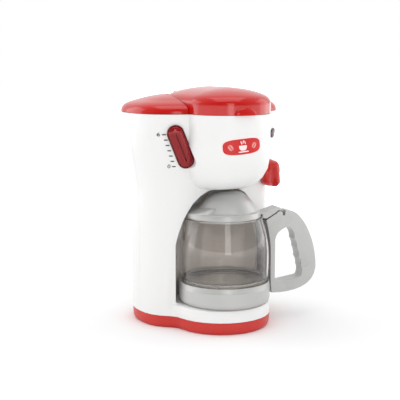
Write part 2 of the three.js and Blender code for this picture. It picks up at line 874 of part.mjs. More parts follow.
function topDeck() {
  const inset = wall + fit;
  const slab = union(
    column(inset, deckTop - wall, deckTop),
    loft([headRing(deckTop - wall, inset), headRing(deckTop, inset)]),
  );
  const hole = rod(basketRadius + fit, deckTop - wall - overrun, deckTop + overrun, roundSteps);
  const gaugeRoom = capsuleShape(gaugeWidth + 2 * gaugeRoomMargin, gaugeLength + 2 * gaugeRoomMargin);
  const deck = cut(slab, placed(hole, 0, headCentreY, 0),
    seated(prism(gaugeRoom, -gaugeRoomDepth, gaugeRoomDepth), gaugeFrame));
  return meshOf('top_deck', deck, finishes.white());
}

const basketFootShare = 0.62;

function filterBasket() {
  const top = deckTop + fit + basketWall;
  const foot = top - basketDepth;
  const footRadius = basketFootShare * basketRadius;
  const geometry = turned([
    [basketOutlet, foot], [footRadius, foot], [basketRadius, deckTop - wall], [basketRadius, deckTop + fit],
    [basketRadius + basketFlange, deckTop + fit], [basketRadius + basketFlange, top],
    [basketRadius - basketWall, top], [footRadius - basketWall, foot + basketWall],
    [basketOutlet, foot + basketWall],
  ]);
  return meshOf('filter_basket', placed(geometry, 0, headCentreY, 0), finishes.smoke());
}

// Red lids. Each profile is a list of [inset, height] shares, from the foot to the crown.

const domeShares = [
  [0, 0], [0, 0.42], [0.01, 0.485], [0.03, 0.545], [0.07, 0.625], [0.136, 0.7], [0.245, 0.775],
  [0.41, 0.86], [0.65, 0.94], [0.93, 1],
];
const domeRearShare = 0.526;
const coverShares = [
  [0, 0], [0.006, 0.14], [0.022, 0.26], [0.046, 0.355], [0.088, 0.45], [0.163, 0.55], [0.286, 0.66],
  [0.45, 0.8], [0.69, 0.93], [0.93, 1],
];

function domeRing(z, grow) {
  const reach = headRadius + grow;
  return ovalRing(z, headCentreY, reach, reach, domeRearReach + grow, 1, domeRearShare);
}

function domeBlock(inset) {
  const foot = inset ? lidFoot - overrun : lidFoot;
  const top = lidFoot + domeRise - inset;
  return loft(domeShares.map(([tuck, rise]) => domeRing(
    THREE.MathUtils.lerp(foot, top, rise), -inset - tuck * (headRadius - inset))));
}

function domeShaft(grow, foot, top) {
  return loft([domeRing(foot, grow), domeRing(top, grow)]);
}

// Height of the tank cover's skin at the given distance in from its edge
function coverHeight(inset) {
  const share = inset / rimHalfDepth;
  const next = coverShares.findIndex(([tuck]) => tuck > share);
  const [[tuck0, rise0], [tuck1, rise1]] = [coverShares[next - 1], coverShares[next]];
  return coverRise * THREE.MathUtils.mapLinear(share, tuck0, tuck1, rise0, rise1);
}

const hingeY = headCentreY + domeRearReach + knuckleRadius;
const hingeZ = lidFoot + coverHeight(bodyCentreY + rimHalfDepth - hingeY) + hingeRise;
const webDropShare = 0.7;

function fingerTab() {
  const bump = new THREE.SphereGeometry(1, mediumSteps, smallSteps);
  bump.scale(tabHalfWidth, tabReach, tabRise);
  bump.translate(0, -headRadius, lidFoot);
  bump.rotateZ(tabTurn);
  return placed(bump, 0, headCentreY, 0).subtract(box([-far, far], [-far, far], [-far, lidFoot]));
}

function domeLid() {
  const web = box([-knuckleLength / 2, knuckleLength / 2], [hingeY - knuckleRadius - webReach, hingeY],
    [hingeZ - knuckleRadius * webDropShare, hingeZ + overrun]);
  const knuckle = rodAlongX(knuckleRadius, -knuckleLength / 2, knuckleLength / 2, hingeY, hingeZ,
    evenSteps);
  const shell = cut(union(domeBlock(0), fingerTab(), web), domeBlock(lidWall));
  const bore = rodAlongX(hingePinRadius + fit, -far, far, hingeY, hingeZ);
  return meshOf('dome_lid', cut(union(shell, knuckle), bore), finishes.red());
}

function coverBlock(inset) {
  const foot = inset ? lidFoot - overrun : lidFoot;
  const top = lidFoot + coverRise - inset;
  return loft(coverShares.map(([tuck, rise]) => {
    const reach = rimHalfDepth - inset - tuck * (rimHalfDepth - inset);
    return ovalRing(THREE.MathUtils.lerp(foot, top, rise), bodyCentreY,
      rimHalfWidth - rimHalfDepth + reach, reach, reach, bodyRoundShare);
  }));
}

function hingeEars() {
  const start = knuckleLength / 2 + play;
  const end = hingePinLength / 2;
  return bothSides.map((side) => {
    const span = [side * start, side * end].sort((a, b) => a - b);
    const foot = box(span, [hingeY, hingeY + knuckleRadius], [hingeZ - 2 * knuckleRadius, hingeZ]);
    return union(rodAlongX(knuckleRadius, ...span, hingeY, hingeZ, evenSteps), foot);
  });
}

function tankCover() {
  const outer = coverBlock(0);
  const collar = domeShaft(play + lidWall, lidFoot, rim + far).intersect(outer);
  const grooveHalf = knuckleLength / 2 + play;
  const tools = [
    rodAlongX(knuckleRadius + play, -grooveHalf, grooveHalf, hingeY, hingeZ, evenSteps),
    box([-grooveHalf, grooveHalf], [hingeY - knuckleRadius - webReach, hingeY],
      [hingeZ - knuckleRadius * webDropShare - play, hingeZ + knuckleRadius + overrun]),
    domeShaft(play, lidFoot - overrun, rim + far),
    rodAlongX(hingePinRadius + fit, -hingePinLength / 2 - fit, hingePinLength / 2 + fit, hingeY, hingeZ),
  ];
  const lid = union(cut(outer, coverBlock(lidWall)), collar, ...hingeEars());
  return meshOf('tank_cover', cut(lid, ...tools), finishes.red());
}

function domeLidPin() {
  const half = hingePinLength / 2;
  return meshOf('dome_lid_pin', rodAlongX(hingePinRadius, -half, half, hingeY, hingeZ), finishes.steel());
}

// Front fittings. Each is made in its own face frame.

function onFace(name, solid, material, frame) {
  const mesh = meshOf(name, solid, material);
  mesh.applyMatrix4(frame);
  return mesh;
}

const flangeTop = -padDepth - fit;

function gauge() {
  const lensFoot = flangeTop - gaugeFlange;
  const backTop = lensFoot - fit;
  const wide = capsuleShape(gaugeWidth + 2 * gaugeFlangeMargin, gaugeLength + 2 * gaugeFlangeMargin);
  const outline = capsuleShape(gaugeWidth, gaugeLength);
  const body = softPrism(outline, lensFoot - gaugeEdge, gaugeBulge, gaugeEdge);
  const hollow = capsuleShape(gaugeWidth - 2 * gaugeFlangeMargin, gaugeLength - 2 * gaugeFlangeMargin);
  const lens = cut(
    union(solidOf(body), solidOf(prism(wide, lensFoot, flangeTop))),
    box([-far, far], [-far, far], [-far, lensFoot]),
    solidOf(prism(hollow, lensFoot - overrun, 0)),
  );
  const back = prism(wide, backTop - gaugeBackThickness, backTop);
  const tube = capsuleShape(2 * gaugeTubeRadius, gaugeLength - 2 * gaugeTubeMargin);
  return [
    onFace('gauge_lens', lens, finishes.ruby(), gaugeFrame),
    onFace('gauge_back', solidOf(back), finishes.white(), gaugeFrame),
    onFace('gauge_tube', solidOf(prism(tube, backTop + fit, -overrun)), finishes.ruby(), gaugeFrame),
  ];
}

const lampDomeShares = [[1, 0.4], [0.7, 0.8], [0, 1]];
const ledShares = [[0, 0], [1, 0], [1, 0.62], [0.6, 0.91], [0, 1]];

function indicator() {
  const foot = flangeTop - lampDepth;
  const lens = turned([
    [lampRadius - lampWall, foot], [lampRadius + lampFlange, foot], [lampRadius + lampFlange, flangeTop],
    [lampRadius, flangeTop], ...lampDomeShares.map(([r, z]) => [r * lampRadius, z * lampRise]), [0, 0],
    [lampRadius - lampWall, -overrun],
  ], mediumSteps);
  const ledProfile = ledShares.map(([r, z]) => [r * ledRadius, (1 - z) * (foot + play) - z * lampRise]);
  return [
    onFace('indicator_lens', solidOf(lens), finishes.smoke(), lampFrame),
    onFace('indicator_led', solidOf(turned(ledProfile, smallSteps)), finishes.ruby(), lampFrame),
  ];
}

const knobFoot = knobPadRise + fit;

// The grip's side view: a bar across the knob with round upper corners
function gripShape() {
  const half = knobRadius - gripInset;
  const top = knobHeight + knobFoot;
  const shape = new THREE.Shape();
  shape.moveTo(-half, knobFoot + gripEdge);
  shape.lineTo(half, knobFoot + gripEdge);
  shape.lineTo(half, top - gripCorner);
  shape.quadraticCurveTo(half, top, half - gripCorner, top);
  shape.lineTo(gripCorner - half, top);
  shape.quadraticCurveTo(-half, top, -half, top - gripCorner);
  return shape;
}

function knob() {
  const top = knobFoot + knobBodyHeight;
  const shoulder = roundEdge(knobEdge, cornerSteps).map(([inset, rise]) => (
    [knobRadius - inset, top - knobEdge + rise]));
  const body = solidOf(turned([[0, knobFoot], [knobRadius, knobFoot], ...shoulder, [0, top]]));
  const half = gripThickness / 2;
  const grip = upright(softPrism(gripShape(), -half, half, gripEdge), 0);
  grip.rotateZ(Math.PI / 2 + knobRest);
  const bore = solidOf(rod(shaftRadius + fit, -overrun, knobFoot + shaftGrip + fit));
  return onFace('switch_knob', cut(union(body, solidOf(grip)), bore), finishes.red(), knobFrame);
}

function rotarySwitch() {
  const shaftFoot = flangeTop - switchDepth + switchFloor;
  const body = cut(solidOf(rod(switchRadius, flangeTop - switchDepth, flangeTop, mediumSteps)),
    solidOf(rod(shaftRadius + fit, shaftFoot, flangeTop + overrun)));
  const shaft = solidOf(rod(shaftRadius, shaftFoot + fit, knobFoot + shaftGrip));
  return [
    onFace('rotary_switch', body, finishes.black(), knobFrame),
    onFace('switch_shaft', shaft, finishes.grey(), knobFrame),
  ];
}

// Works inside the column. Profiles are [radius, depth] shares of the speaker's own size.

const speakerShares = [
  [0, 0], [0.47, 0], [0.47, 0.33], [0.94, 0.75], [1, 0.75], [1, 1], [0.88, 1], [0.41, 0.5], [0, 0.5],
];
const coneShares = [[0, 0.55], [0.41, 0.55], [0.78, 0.95], [0.73, 0.95], [0.35, 0.667], [0, 0.717]];

function speaker() {
  return [['speaker', speakerShares, finishes.black()], ['speaker_cone', coneShares, finishes.smoke()]]
    .map(([name, shares, material]) => {
      const profile = shares.map(([r, y]) => [r * speakerRadius, speakerY + y * speakerDepth]);
      const geometry = turned(profile, fineSteps);
      geometry.rotateX(-Math.PI / 2);
      return meshOf(name, placed(geometry, 0, 0, speakerZ), material);
    });
}

const capacitorShares = [0.476, -0.588];

function circuitBoard() {
  const slab = box([-boardWidth / 2, boardWidth / 2], [boardY, boardY + boardThickness],
    [boardZ - boardHeight / 2, boardZ + boardHeight / 2]);
  const chip = box([-chipWidth / 2, chipWidth / 2], [boardY - chipDepth, boardY + boardThickness / 2],
    [boardZ + chipRise, boardZ + chipRise + chipHeight]);
  const capacitor = rodAlongY(capacitorRadius, (capacitorShares[0] * boardWidth) / 2,
    boardZ + (capacitorShares[1] * boardHeight) / 2, boardY - capacitorLength, boardY + boardThickness / 2);
  const holes = boardScrewPlaces.map(([x, z]) => rodAlongY(pilotRadius, x, z, 0, far));
  return meshOf('circuit_board', cut(union(slab, chip, capacitor), ...holes), finishes.board());
}

function boardScrews() {
  return boardScrewPlaces.map(([x, z], i) => {
    const geometry = screw(boardScrewLength);
    geometry.rotateX(-Math.PI / 2);
    const solid = placed(geometry, x, boardY - screwHeadHeight - fit, z);
    return meshOf(`board_screw_${i + 1}`, solid, finishes.steel());
  });
}

// Leads between the works. Each starts square to its source, and meets the board square to its face.

const leadBendShare = 0.55;
const leadSides = 6;
const padShares = {
  battery: [-0.476, -0.647], speaker: [0.286, -0.824], switch: [0.43, -0.06], lamp: [0.714, 0.647],
};

function lead(name, start, leave, between) {
  const [acrossShare, upShare] = padShares[name];
  const pad = new THREE.Vector3((acrossShare * boardWidth) / 2, boardY - 2 * fit,
    boardZ + (upShare * boardHeight) / 2);
  const points = [
    start, start.clone().addScaledVector(leave, leadEnd), ...between(start, pad),
    pad.clone().add(new THREE.Vector3(0, -leadEnd, 0)), pad,
  ];
  const ring = new THREE.EllipseCurve(0, 0, leadRadius, leadRadius).getPoints(leadSides).slice(1);
  const geometry = new THREE.ExtrudeGeometry(new THREE.Shape(ring), {
    steps: leadSteps, extrudePath: new THREE.CatmullRomCurve3(points),
  });
  return meshOf(`${name}_lead`, solidOf(geometry), finishes.black());
}

function leads() {
  const upwards = new THREE.Vector3(0, 0, 1);
  const forwards = new THREE.Vector3(0, -1, 0);
  const behind = (frame, depth) => new THREE.Vector3(0, 0, -depth).applyMatrix4(frame);
  const inwards = (frame) => behind(frame, 1).sub(behind(frame, 0));
  const midway = (start, pad) => [start.clone().lerp(pad, leadBendShare)];
  const fromBelow = (start, pad) => [pad.clone().add(new THREE.Vector3(0, -leadApproach, -leadDrop))];
  const speakerX = (padShares.speaker[0] * boardWidth) / 2;
  return [
    lead('battery', new THREE.Vector3(leadHoleX, leadHoleY, batteryZ), upwards,
      (start, pad) => [new THREE.Vector3(leadHoleX, leadHoleY, speakerZ), ...fromBelow(start, pad)]),
    lead('speaker', new THREE.Vector3(speakerX, speakerY - 2 * fit, speakerZ), forwards, fromBelow),
    lead('switch', behind(knobFrame, padDepth + switchDepth + 2 * fit), inwards(knobFrame), midway),
    lead('lamp', behind(lampFrame, padDepth + lampDepth + play), inwards(lampFrame), midway),
  ];
}

// The jug, in its own frame: the handle points along +X, the spout along -X

const bellyShare = 0.36;
const neckBendShare = 2.2;

function glassRadius(z) {
  const share = THREE.MathUtils.clamp((z - glassFoot) / jugBodyHeight, 0, 1);
  if (share < bellyShare) {
    const swell = Math.sin((share / bellyShare) * (Math.PI / 2));
    return THREE.MathUtils.lerp(jugSeatRadius, jugBellyRadius, swell);
  }
  const t = (share - bellyShare) / (1 - bellyShare);
  return THREE.MathUtils.lerp(jugBellyRadius, jugRimRadius, t ** neckBendShare);
}

const glassLevels = Array.from({ length: smallSteps + 1 }, (_, i) => (
  THREE.MathUtils.lerp(glassFoot + fit, jugRim, i / smallSteps)));

function spoutBlock(inset) {
  const foot = jugRim - spoutDrop;
  const top = jugRim + (inset ? overrun : 0);
  const tip = spoutTipRadius;
  return loft([
    jugRing(foot, inset + tip - glassRadius(foot), tip, tip, mediumSteps),
    jugRing(top, spoutLength - spoutReach, spoutLength - inset, spoutHalfWidth - inset, mediumSteps),
  ]);
}

function jugGlass() {
  const outerProfile = glassLevels.map((z) => [glassRadius(z), z]);
  const innerProfile = glassLevels.slice(1).map((z) => [glassRadius(z) - glassWall, z]).reverse();
  const floor = glassFoot + fit + glassWall;
  const outer = turned([[0, glassFoot + fit], ...outerProfile, [0, jugRim]]);
  const inner = turned([[0, jugRim + overrun], [innerProfile[0][0], jugRim + overrun], ...innerProfile,
    [jugSeatRadius - glassWall, floor], [0, floor]]);
  const glass = cut(union(solidOf(outer), spoutBlock(0)), solidOf(inner), spoutBlock(glassWall));
  return meshOf('jug_glass', glass, finishes.clear());
}

function jugBase() {
  const seat = jugSeatRadius + fit;
  const edge = roundEdge(jugTuck, cornerSteps).map(([inset, rise]) => (
    [jugBaseRadius - jugTuck + rise, jugFoot + inset]));
  const outer = turned([
    [0, jugFoot], ...edge, [jugBaseTopRadius + jugCrease, glassFoot - jugShoulder],
    [jugBaseTopRadius, glassFoot + jugLip], [seat, glassFoot + jugLip], [seat, glassFoot], [0, glassFoot],
  ]);
  const hollowRadius = jugBaseRadius - wall - overrun;
  const hollow = turned([
    [0, jugFoot - overrun], [jugBaseRadius - jugTuck - wall, jugFoot - overrun],
    [hollowRadius, jugFoot + jugTuck], [hollowRadius, glassFoot - wall], [0, glassFoot - wall],
  ]);
  return meshOf('jug_base', cut(union(solidOf(outer), lowerTongue(0)), solidOf(hollow)), finishes.grey());
}

// The tongues that the handle is clamped on: one on the bracket, one on the jug's base

function tongue(reach, foot, height, grow) {
  const half = tongueThickness / 2 + grow;
  return box([tongueRoot - grow, reach + grow], [-half, half], [foot - grow, foot + height + grow]);
}

function upperTongue(grow) {
  return tongue(upperTongueReach, jugRim - upperTongueDrop, upperTongueHeight, grow);
}

function lowerTongue(grow) {
  return tongue(lowerTongueReach, glassFoot - lowerTongueDrop, lowerTongueHeight, grow);
}

// Handle outlines in the jug's X-Z plane, as shares of the handle's reach and height

const handleShares = [
  [0.07, 0],
  [0.5, -0.02, 0.98, 0.03, 1, 0.28],
  [1.005, 0.5, 0.85, 0.78, 0.66, 0.9],
  [0.55, 0.985, 0.44, 1, 0.342, 0.997],
  [0.333, 0.937], [0.286, 0.935], [0.277, 0.975], [0.234, 0.992], [0.186, 0.985], [0.156, 0.967],
  [-0.06, 0.89],
  [0, 0.76, 0.035, 0.6, 0.036, 0.3],
  [0.045, 0.1],
];
const windowShares = [
  [0.175, 0.125], [0.64, 0.165],
  [0.7, 0.17, 0.7, 0.2],
  [0.73, 0.25, 0.69, 0.3], [0.7, 0.355, 0.64, 0.41], [0.655, 0.468, 0.6, 0.525],
  [0.608, 0.583, 0.545, 0.64], [0.558, 0.693, 0.5, 0.745],
  [0.46, 0.8, 0.36, 0.79],
  [0.15, 0.75, 0.13, 0.64],
  [0.13, 0.2],
  [0.13, 0.13, 0.175, 0.125],
];
const pivotShares = [0.2208, 0.9523];
const handleScrewShares = [[0.751, 0.327], [0.437, 0.068], [0.394, 0.884]];

function onHandle(reachShare, heightShare) {
  return [
    THREE.MathUtils.lerp(jugBaseRadius, handleReach, reachShare),
    THREE.MathUtils.lerp(handleBottom, handleTop, heightShare),
  ];
}

const [pivotReach, pivotHeight] = onHandle(...pivotShares);

// The glass with some room around it, up to the given height
function glassRoom(gap, top) {
  const side = glassLevels.map((z) => [glassRadius(z) + gap, z]);
  const foot = [[0, -far], [jugSeatRadius + gap, -far]];
  return solidOf(turned([...foot, ...side, [jugRimRadius + gap, top], [0, top]], 2 * roundSteps));
}

function handleHalves() {
  const half = handleThickness / 2;
  const whole = cut(
    solidOf(standingPrism(outlineOf(handleShares, onHandle), -half, half)),
    solidOf(standingPrism(outlineOf(windowShares, onHandle), -far, far)),
    box([pivotReach - slotFront, pivotReach + slotRear], [-slotHalf, slotHalf],
      [pivotHeight - slotDepth, far]),
    rodAlongY(pivotPinRadius + fit, pivotReach, pivotHeight, pinInset - fit - half, half - pinInset + fit),
    upperTongue(fit),
    lowerTongue(fit),
    glassRoom(2 * fit + bracketWall, far),
    solidOf(rod(jugBaseRadius + overrun, -far, glassFoot, 2 * roundSteps)),
  );
  const frontSpace = box([-far, far], [-far, -fit / 2], [-far, far]);
  const rearSpace = box([-far, far], [fit / 2, far], [-far, far]);
  const places = handleScrewShares.map((shares) => onHandle(...shares));
  const frontHoles = places.flatMap(([x, z]) => [
    rodAlongY(pilotRadius, x, z, -far, overrun),
    rodAlongY(headClearRadius, x, z, -far, handleScrewSink + screwHeadHeight + fit - half),
  ]);
  const rearHoles = places.map(([x, z]) => rodAlongY(pilotRadius, x, z, -overrun, half - handleScrewFloor));
  return [
    meshOf('handle_half_front', cut(whole.intersect(frontSpace), ...frontHoles), finishes.grey()),
    meshOf('handle_half_rear', cut(whole.intersect(rearSpace), ...rearHoles), finishes.grey()),
  ];
}

function handleScrews() {
  return handleScrewShares.map((shares, i) => {
    const [x, z] = onHandle(...shares);
    const geometry = screw(handleScrewLength);
    geometry.rotateX(-Math.PI / 2);
    const solid = placed(geometry, x, handleScrewSink - handleThickness / 2, z);
    return meshOf(`handle_screw_${i + 1}`, solid, finishes.steel());
  });
}

function handleBracket() {
  const foot = glassFoot + bracketFootGap;
  const top = jugRim - bracketTopGap;
  const levels = [foot, ...glassLevels.filter((z) => z > foot && z < top), top];
  const strap = turned([
    ...levels.map((z) => [glassRadius(z) + fit, z]),
    ...levels.toReversed().map((z) => [glassRadius(z) + fit + bracketWall, z]),
  ], 2 * roundSteps);
  const halfWidth = jugBellyRadius * Math.tan(bracketHalfAngle);
  const window = box([0, far], [-halfWidth, halfWidth], [-far, far]);
  const bracket = union(solidOf(strap).intersect(window), cut(upperTongue(0), glassRoom(fit, far)));
  return meshOf('handle_bracket', bracket, finishes.smoke());
}

function jugLidPin() {
  const half = handleThickness / 2 - pinInset;
  const pin = rodAlongY(pivotPinRadius, pivotReach, pivotHeight, -half, half);
  return meshOf('jug_lid_pin', pin, finishes.steel());
}

// The jug's lid: a cap that leans towards the handle, with a beak over the spout.
// Each row is [radius, height, lean]. The radius and the lean are shares of the rim's radius.

const capShares = [
  [0.96, 0, 0], [0.939, 0.2, 0], [0.9, 0.225, 0.01], [0.84, 0.24, 0.064], [0.76, 0.4, 0.074],
  [0.675, 0.56, 0.08], [0.586, 0.697, 0.089], [0.43, 0.858, 0.11], [0.35, 0.927, 0.12],
  [0.25, 0.977, 0.128], [0.12, 1, 0.13],
];

function capBlock(inset) {
  const foot = inset ? jugLidFoot - overrun : jugLidFoot;
  const top = jugLidFoot + lidRise - inset;
  return loft(capShares.map(([radius, rise, lean]) => {
    const reach = Math.max(radius * jugRimRadius - inset, inset);
    return jugRing(THREE.MathUtils.lerp(foot, top, rise), lean * jugRimRadius, reach, reach);
  }));
}

function beakBlock(inset) {
  const length = beakReach - beakRoot;
  const foot = inset ? jugLidFoot - overrun : jugLidFoot;
  const side = new THREE.Shape();
  side.moveTo(0, foot);
  side.lineTo(-beakReach, foot);
  side.lineTo(-beakReach, jugLidFoot + beakTipRise - inset);
  side.lineTo(-beakRoot, jugLidFoot + beakRootRise - inset);
  side.lineTo(0, jugLidFoot + beakRootRise - inset);
  const plan = [foot - overrun, far].map((z) => (
    jugRing(z, -beakRoot, length - inset, beakHalfWidth - inset)));
  return solidOf(standingPrism(side, -far, far)).intersect(loft(plan));
}

function jugLid() {
  const skirtRadius = jugRimRadius - glassWall - play;
  const skirt = turned([
    [skirtRadius - jugLidWall, jugRim - skirtDepth], [skirtRadius, jugRim - skirtDepth],
    [skirtRadius, jugLidFoot + overrun], [skirtRadius - jugLidWall, jugLidFoot + overrun],
  ]);
  const shell = cut(union(capBlock(0), beakBlock(0)), capBlock(jugLidWall), beakBlock(jugLidWall));
  return meshOf('jug_lid', union(shell, solidOf(skirt)), finishes.grey());
}

// The lever's side view, as shares of the way from its root to the pivot and of its rise over the pivot

const leverShares = [
  [-0.175, 0.162], [0, 0.162], [0, -0.338], [0.247, -0.426], [0.783, 0.309], [0.904, 0.559], [1.072, 0.574],
  [1.175, 0.397], [1.193, 0.456], [0.976, 0.941], [0.892, 1], [0.181, 0.456], [-0.175, 0.43],
];

function thumbLever() {
  const half = handleThickness / 2;
  const root = jugRimRadius + leverRootGap;
  const plate = standingPrism(outlineOf(leverShares, (along, up) => [
    THREE.MathUtils.lerp(root, pivotReach, along), pivotHeight + up * leverRise]), -half, half);
  const knuckleHalf = slotHalf - play;
  const arm = box([pivotReach - pivotKnuckleRadius, pivotReach + pivotKnuckleRadius / 2],
    [-knuckleHalf, knuckleHalf], [pivotHeight, pivotHeight + leverRise * leverShares[6][1] + fit]);
  const knuckle = rodAlongY(pivotKnuckleRadius, pivotReach, pivotHeight, -knuckleHalf, knuckleHalf,
    evenSteps);
  const lever = cut(
    union(solidOf(plate), arm, knuckle),
    rodAlongY(pivotPinRadius + fit, pivotReach, pivotHeight, -far, far),
    solidOf(rod(lidFlangeRadius + fit, -far, far, 2 * roundSteps)),
    glassRoom(fit, jugLidFoot),
  );
  return meshOf('thumb_lever', lever, finishes.grey());
}

// Assembly

function jugAssembly() {
  const group = new THREE.Group();
  group.rotation.z = jugTurn;
  group.add(jugGlass(), jugBase(), handleBracket(), ...handleHalves(), ...handleScrews(), jugLidPin(),
    jugLid(), thumbLever());
  return group;
}

const coffeeMaker = new THREE.Group();
coffeeMaker.add(
  baseTray(), batteryDoor(), batteryDoorScrew(), batteryBox(), ...batteries(), ...batteryContacts(),
  frontHousing(), rearCover(), nicheLiner(), topDeck(), filterBasket(), tankCover(), domeLid(),
  domeLidPin(), ...gauge(), ...indicator(), knob(), ...rotarySwitch(), ...speaker(), circuitBoard(),
  ...boardScrews(), ...leads(), ...baseScrews(), ...coverScrews(), jugAssembly(),
);

export default coffeeMaker;
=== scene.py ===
"""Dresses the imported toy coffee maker: smooth skins, finishes and printed marks around the fixed frame."""

import logging
from dataclasses import dataclass
from enum import Enum
from math import atan2, copysign, cos, pi, radians, sin, sqrt
from typing import Callable, Sequence

import bmesh
import bpy
from mathutils import Matrix, Vector


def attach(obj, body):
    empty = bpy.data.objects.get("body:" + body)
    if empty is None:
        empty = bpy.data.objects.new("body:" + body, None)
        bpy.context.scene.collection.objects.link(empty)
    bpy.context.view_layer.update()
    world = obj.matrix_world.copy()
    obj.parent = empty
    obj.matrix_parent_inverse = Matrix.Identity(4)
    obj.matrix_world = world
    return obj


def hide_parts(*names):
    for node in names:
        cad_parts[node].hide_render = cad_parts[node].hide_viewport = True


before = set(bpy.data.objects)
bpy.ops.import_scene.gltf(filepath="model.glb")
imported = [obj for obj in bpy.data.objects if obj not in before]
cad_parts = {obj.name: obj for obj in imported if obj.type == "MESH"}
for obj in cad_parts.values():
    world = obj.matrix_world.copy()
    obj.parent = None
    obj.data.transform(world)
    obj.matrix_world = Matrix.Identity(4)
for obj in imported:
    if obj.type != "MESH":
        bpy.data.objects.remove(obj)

LOG = logging.getLogger("coffee_maker")
MM = 0.001
SHARP = 34.0
FINE, FINEST = 144, 160
CUT_REACH = 1e-5
WELD_NEW, WELD_SOLID, WELD_CUT = 0.002 * MM, 0.004 * MM, 0.005 * MM
MIX_A, MIX_B, COLOUR_A, COLOUR_B, COLOUR_OUT = 2, 3, 6, 7, 2
Point = tuple[float, float, float]
Row = tuple[float, float]
Ring = Callable[[float], Point]
Mesh = bmesh.types.BMesh
Socket = bpy.types.NodeSocket
Inputs = dict[str | int, object]


def linear(code: str) -> tuple[float, float, float, float]:
    """Turn a hex screen colour into a linear shader colour.

    Args:
        code: six hex digits.
    Returns:
        Red, green, blue and an alpha of 1.
    """
    parts = [int(code[i:i + 2], 16) / 255 for i in (0, 2, 4)]
    return tuple(c / 12.92 if c <= 0.04045 else ((c + 0.055) / 1.055) ** 2.4 for c in parts) + (1.0,)


def lerp(a: float, b: float, share: float) -> float:
    """Return the value a share of the way from a to b."""
    return a + (b - a) * share


def ease(share: float) -> float:
    """Return a share that starts and ends softly, held between 0 and 1."""
    held = min(1.0, max(0.0, share))
    return held * held * (3 - 2 * held)


class Slot(Enum):
    """The record's material slots."""

    WHITE = "white_shell"
    RED = "red_shell"
    GREY = "grey_parts"
    SMOKE = "smoke_parts"
    CLEAR = "clear_jug"
    RUBY = "ruby_clear"
    BLACK = "black_parts"
    BOARD = "board"
    BATTERY = "battery_skin"
    STEEL = "steel_parts"


class Body(Enum):
    """The rigid bodies that pieces ride on."""

    MACHINE = "machine"
    KNOB = "knob"
    TOP_LID = "top_lid"
    JUG = "jug"
    POT_LID = "pot_lid"


class Graph:
    """A node tree, with one short call that adds a node, sets it and links it."""

    def __init__(self, holder: bpy.types.Material | bpy.types.World, output: str = "OutputMaterial",
                 coords: str = "Object") -> None:
        """Start an empty tree.

        Args:
            holder: the material or the world that it belongs to.
            output: the kind of its output node.
            coords: the coordinates that its patterns use.
        """
        holder.use_nodes = True
        self.tree = holder.node_tree
        self.tree.nodes.clear()
        self.output = self.add(output)
        self.coords = self.add("TexCoord").outputs[coords]

    def add(self, kind: str, inputs: Inputs | None = None, **values: object) -> bpy.types.Node:
        """Add a node.

        Args:
            kind: the node's type, without its first word ShaderNode.
            inputs: a value or a socket to link for each input, by name or number.
            values: the node's own properties.
        Returns:
            The new node.
        """
        node = self.tree.nodes.new(f"ShaderNode{kind}")
        for key, value in values.items():
            setattr(node, key, value)
        for key, value in (inputs or {}).items():
            if isinstance(value, Socket):
                self.tree.links.new(value, node.inputs[key])
            else:
                node.inputs[key].default_value = value
        return node

    def show(self, shader: Socket) -> None:
        """Link a shader to the output."""
        self.tree.links.new(shader, self.output.inputs["Surface"])

    def noise(self, scale: float, detail: float = 3.0, stretch: Point = (1.0, 1.0, 1.0)) -> Socket:
        """Add noise on the object's own coordinates.

        Args:
            scale: how many features fit in a metre.
            detail: how many finer layers it has.
            stretch: the pattern's scale along each axis.
        Returns:
            The noise's grey value.
        """
        mapped = self.add("Mapping", {"Vector": self.coords, "Scale": stretch}).outputs["Vector"]
        return self.add("TexNoise", {"Vector": mapped, "Scale": scale, "Detail": detail}).outputs["Fac"]

    def spread(self, value: Socket, low: float, high: float, start: float = 0.3,
               end: float = 0.7, **values: object) -> Socket:
        """Map a value from the range between start and end, at first a noise's middle, to low and high."""
        return self.add("MapRange", {"Value": value, "From Min": start, "From Max": end, "To Min": low,
                                               "To Max": high}, **values).outputs["Result"]

    def blend(self, value: Socket, first: Sequence[float], second: Sequence[float]) -> Socket:
        """Blend two colours by a grey value."""
        return self.add("Mix", {0: value, COLOUR_A: first, COLOUR_B: second},
                        data_type="RGBA").outputs[COLOUR_OUT]

    def tones(self, value: Socket, first: str, second: str) -> Socket:
        """Blend two hex colours over the middle of a noise."""
        return self.blend(self.spread(value, 0.0, 1.0), linear(first), linear(second))

    def bump(self, value: Socket, depth: float, strength: float, under: Socket | None = None) -> Socket:
        """Turn a grey value into a bumped normal.

        Args:
            value: the height.
            depth: its depth in metres.
            strength: how much of it is used.
            under: a normal that this one adds to.
        Returns:
            The normal.
        """
        inputs = {"Height": value, "Distance": depth, "Strength": strength}
        if under is not None:
            inputs["Normal"] = under
        return self.add("Bump", inputs).outputs["Normal"]

    def principled(self, inputs: Inputs) -> Socket:
        """Add the general shader and return its output."""
        return self.add("BsdfPrincipled", inputs).outputs["BSDF"]

    def light_path(self, *kinds: str) -> Socket:
        """Return a value that is 1 for the named kinds of ray and 0 for the rest."""
        path = self.add("LightPath")
        found = path.outputs[kinds[0]]
        for kind in kinds[1:]:
            found = self.add("Math", {0: found, 1: path.outputs[kind]}, operation="MAXIMUM").outputs[0]
        return found


@dataclass(frozen=True)
class Finish:
    """A finish that can make its material once and hand it out again."""

    name: str
    slot: Slot

    def draw(self, graph: Graph) -> None:
        """Fill the node tree. Each kind of finish has its own."""
        raise NotImplementedError

    def material(self) -> bpy.types.Material:
        """Return the material, and make it the first time."""
        found = bpy.data.materials.get(self.name)
        if found is None:
            found = bpy.data.materials.new(self.name)
            self.draw(Graph(found))
        return found


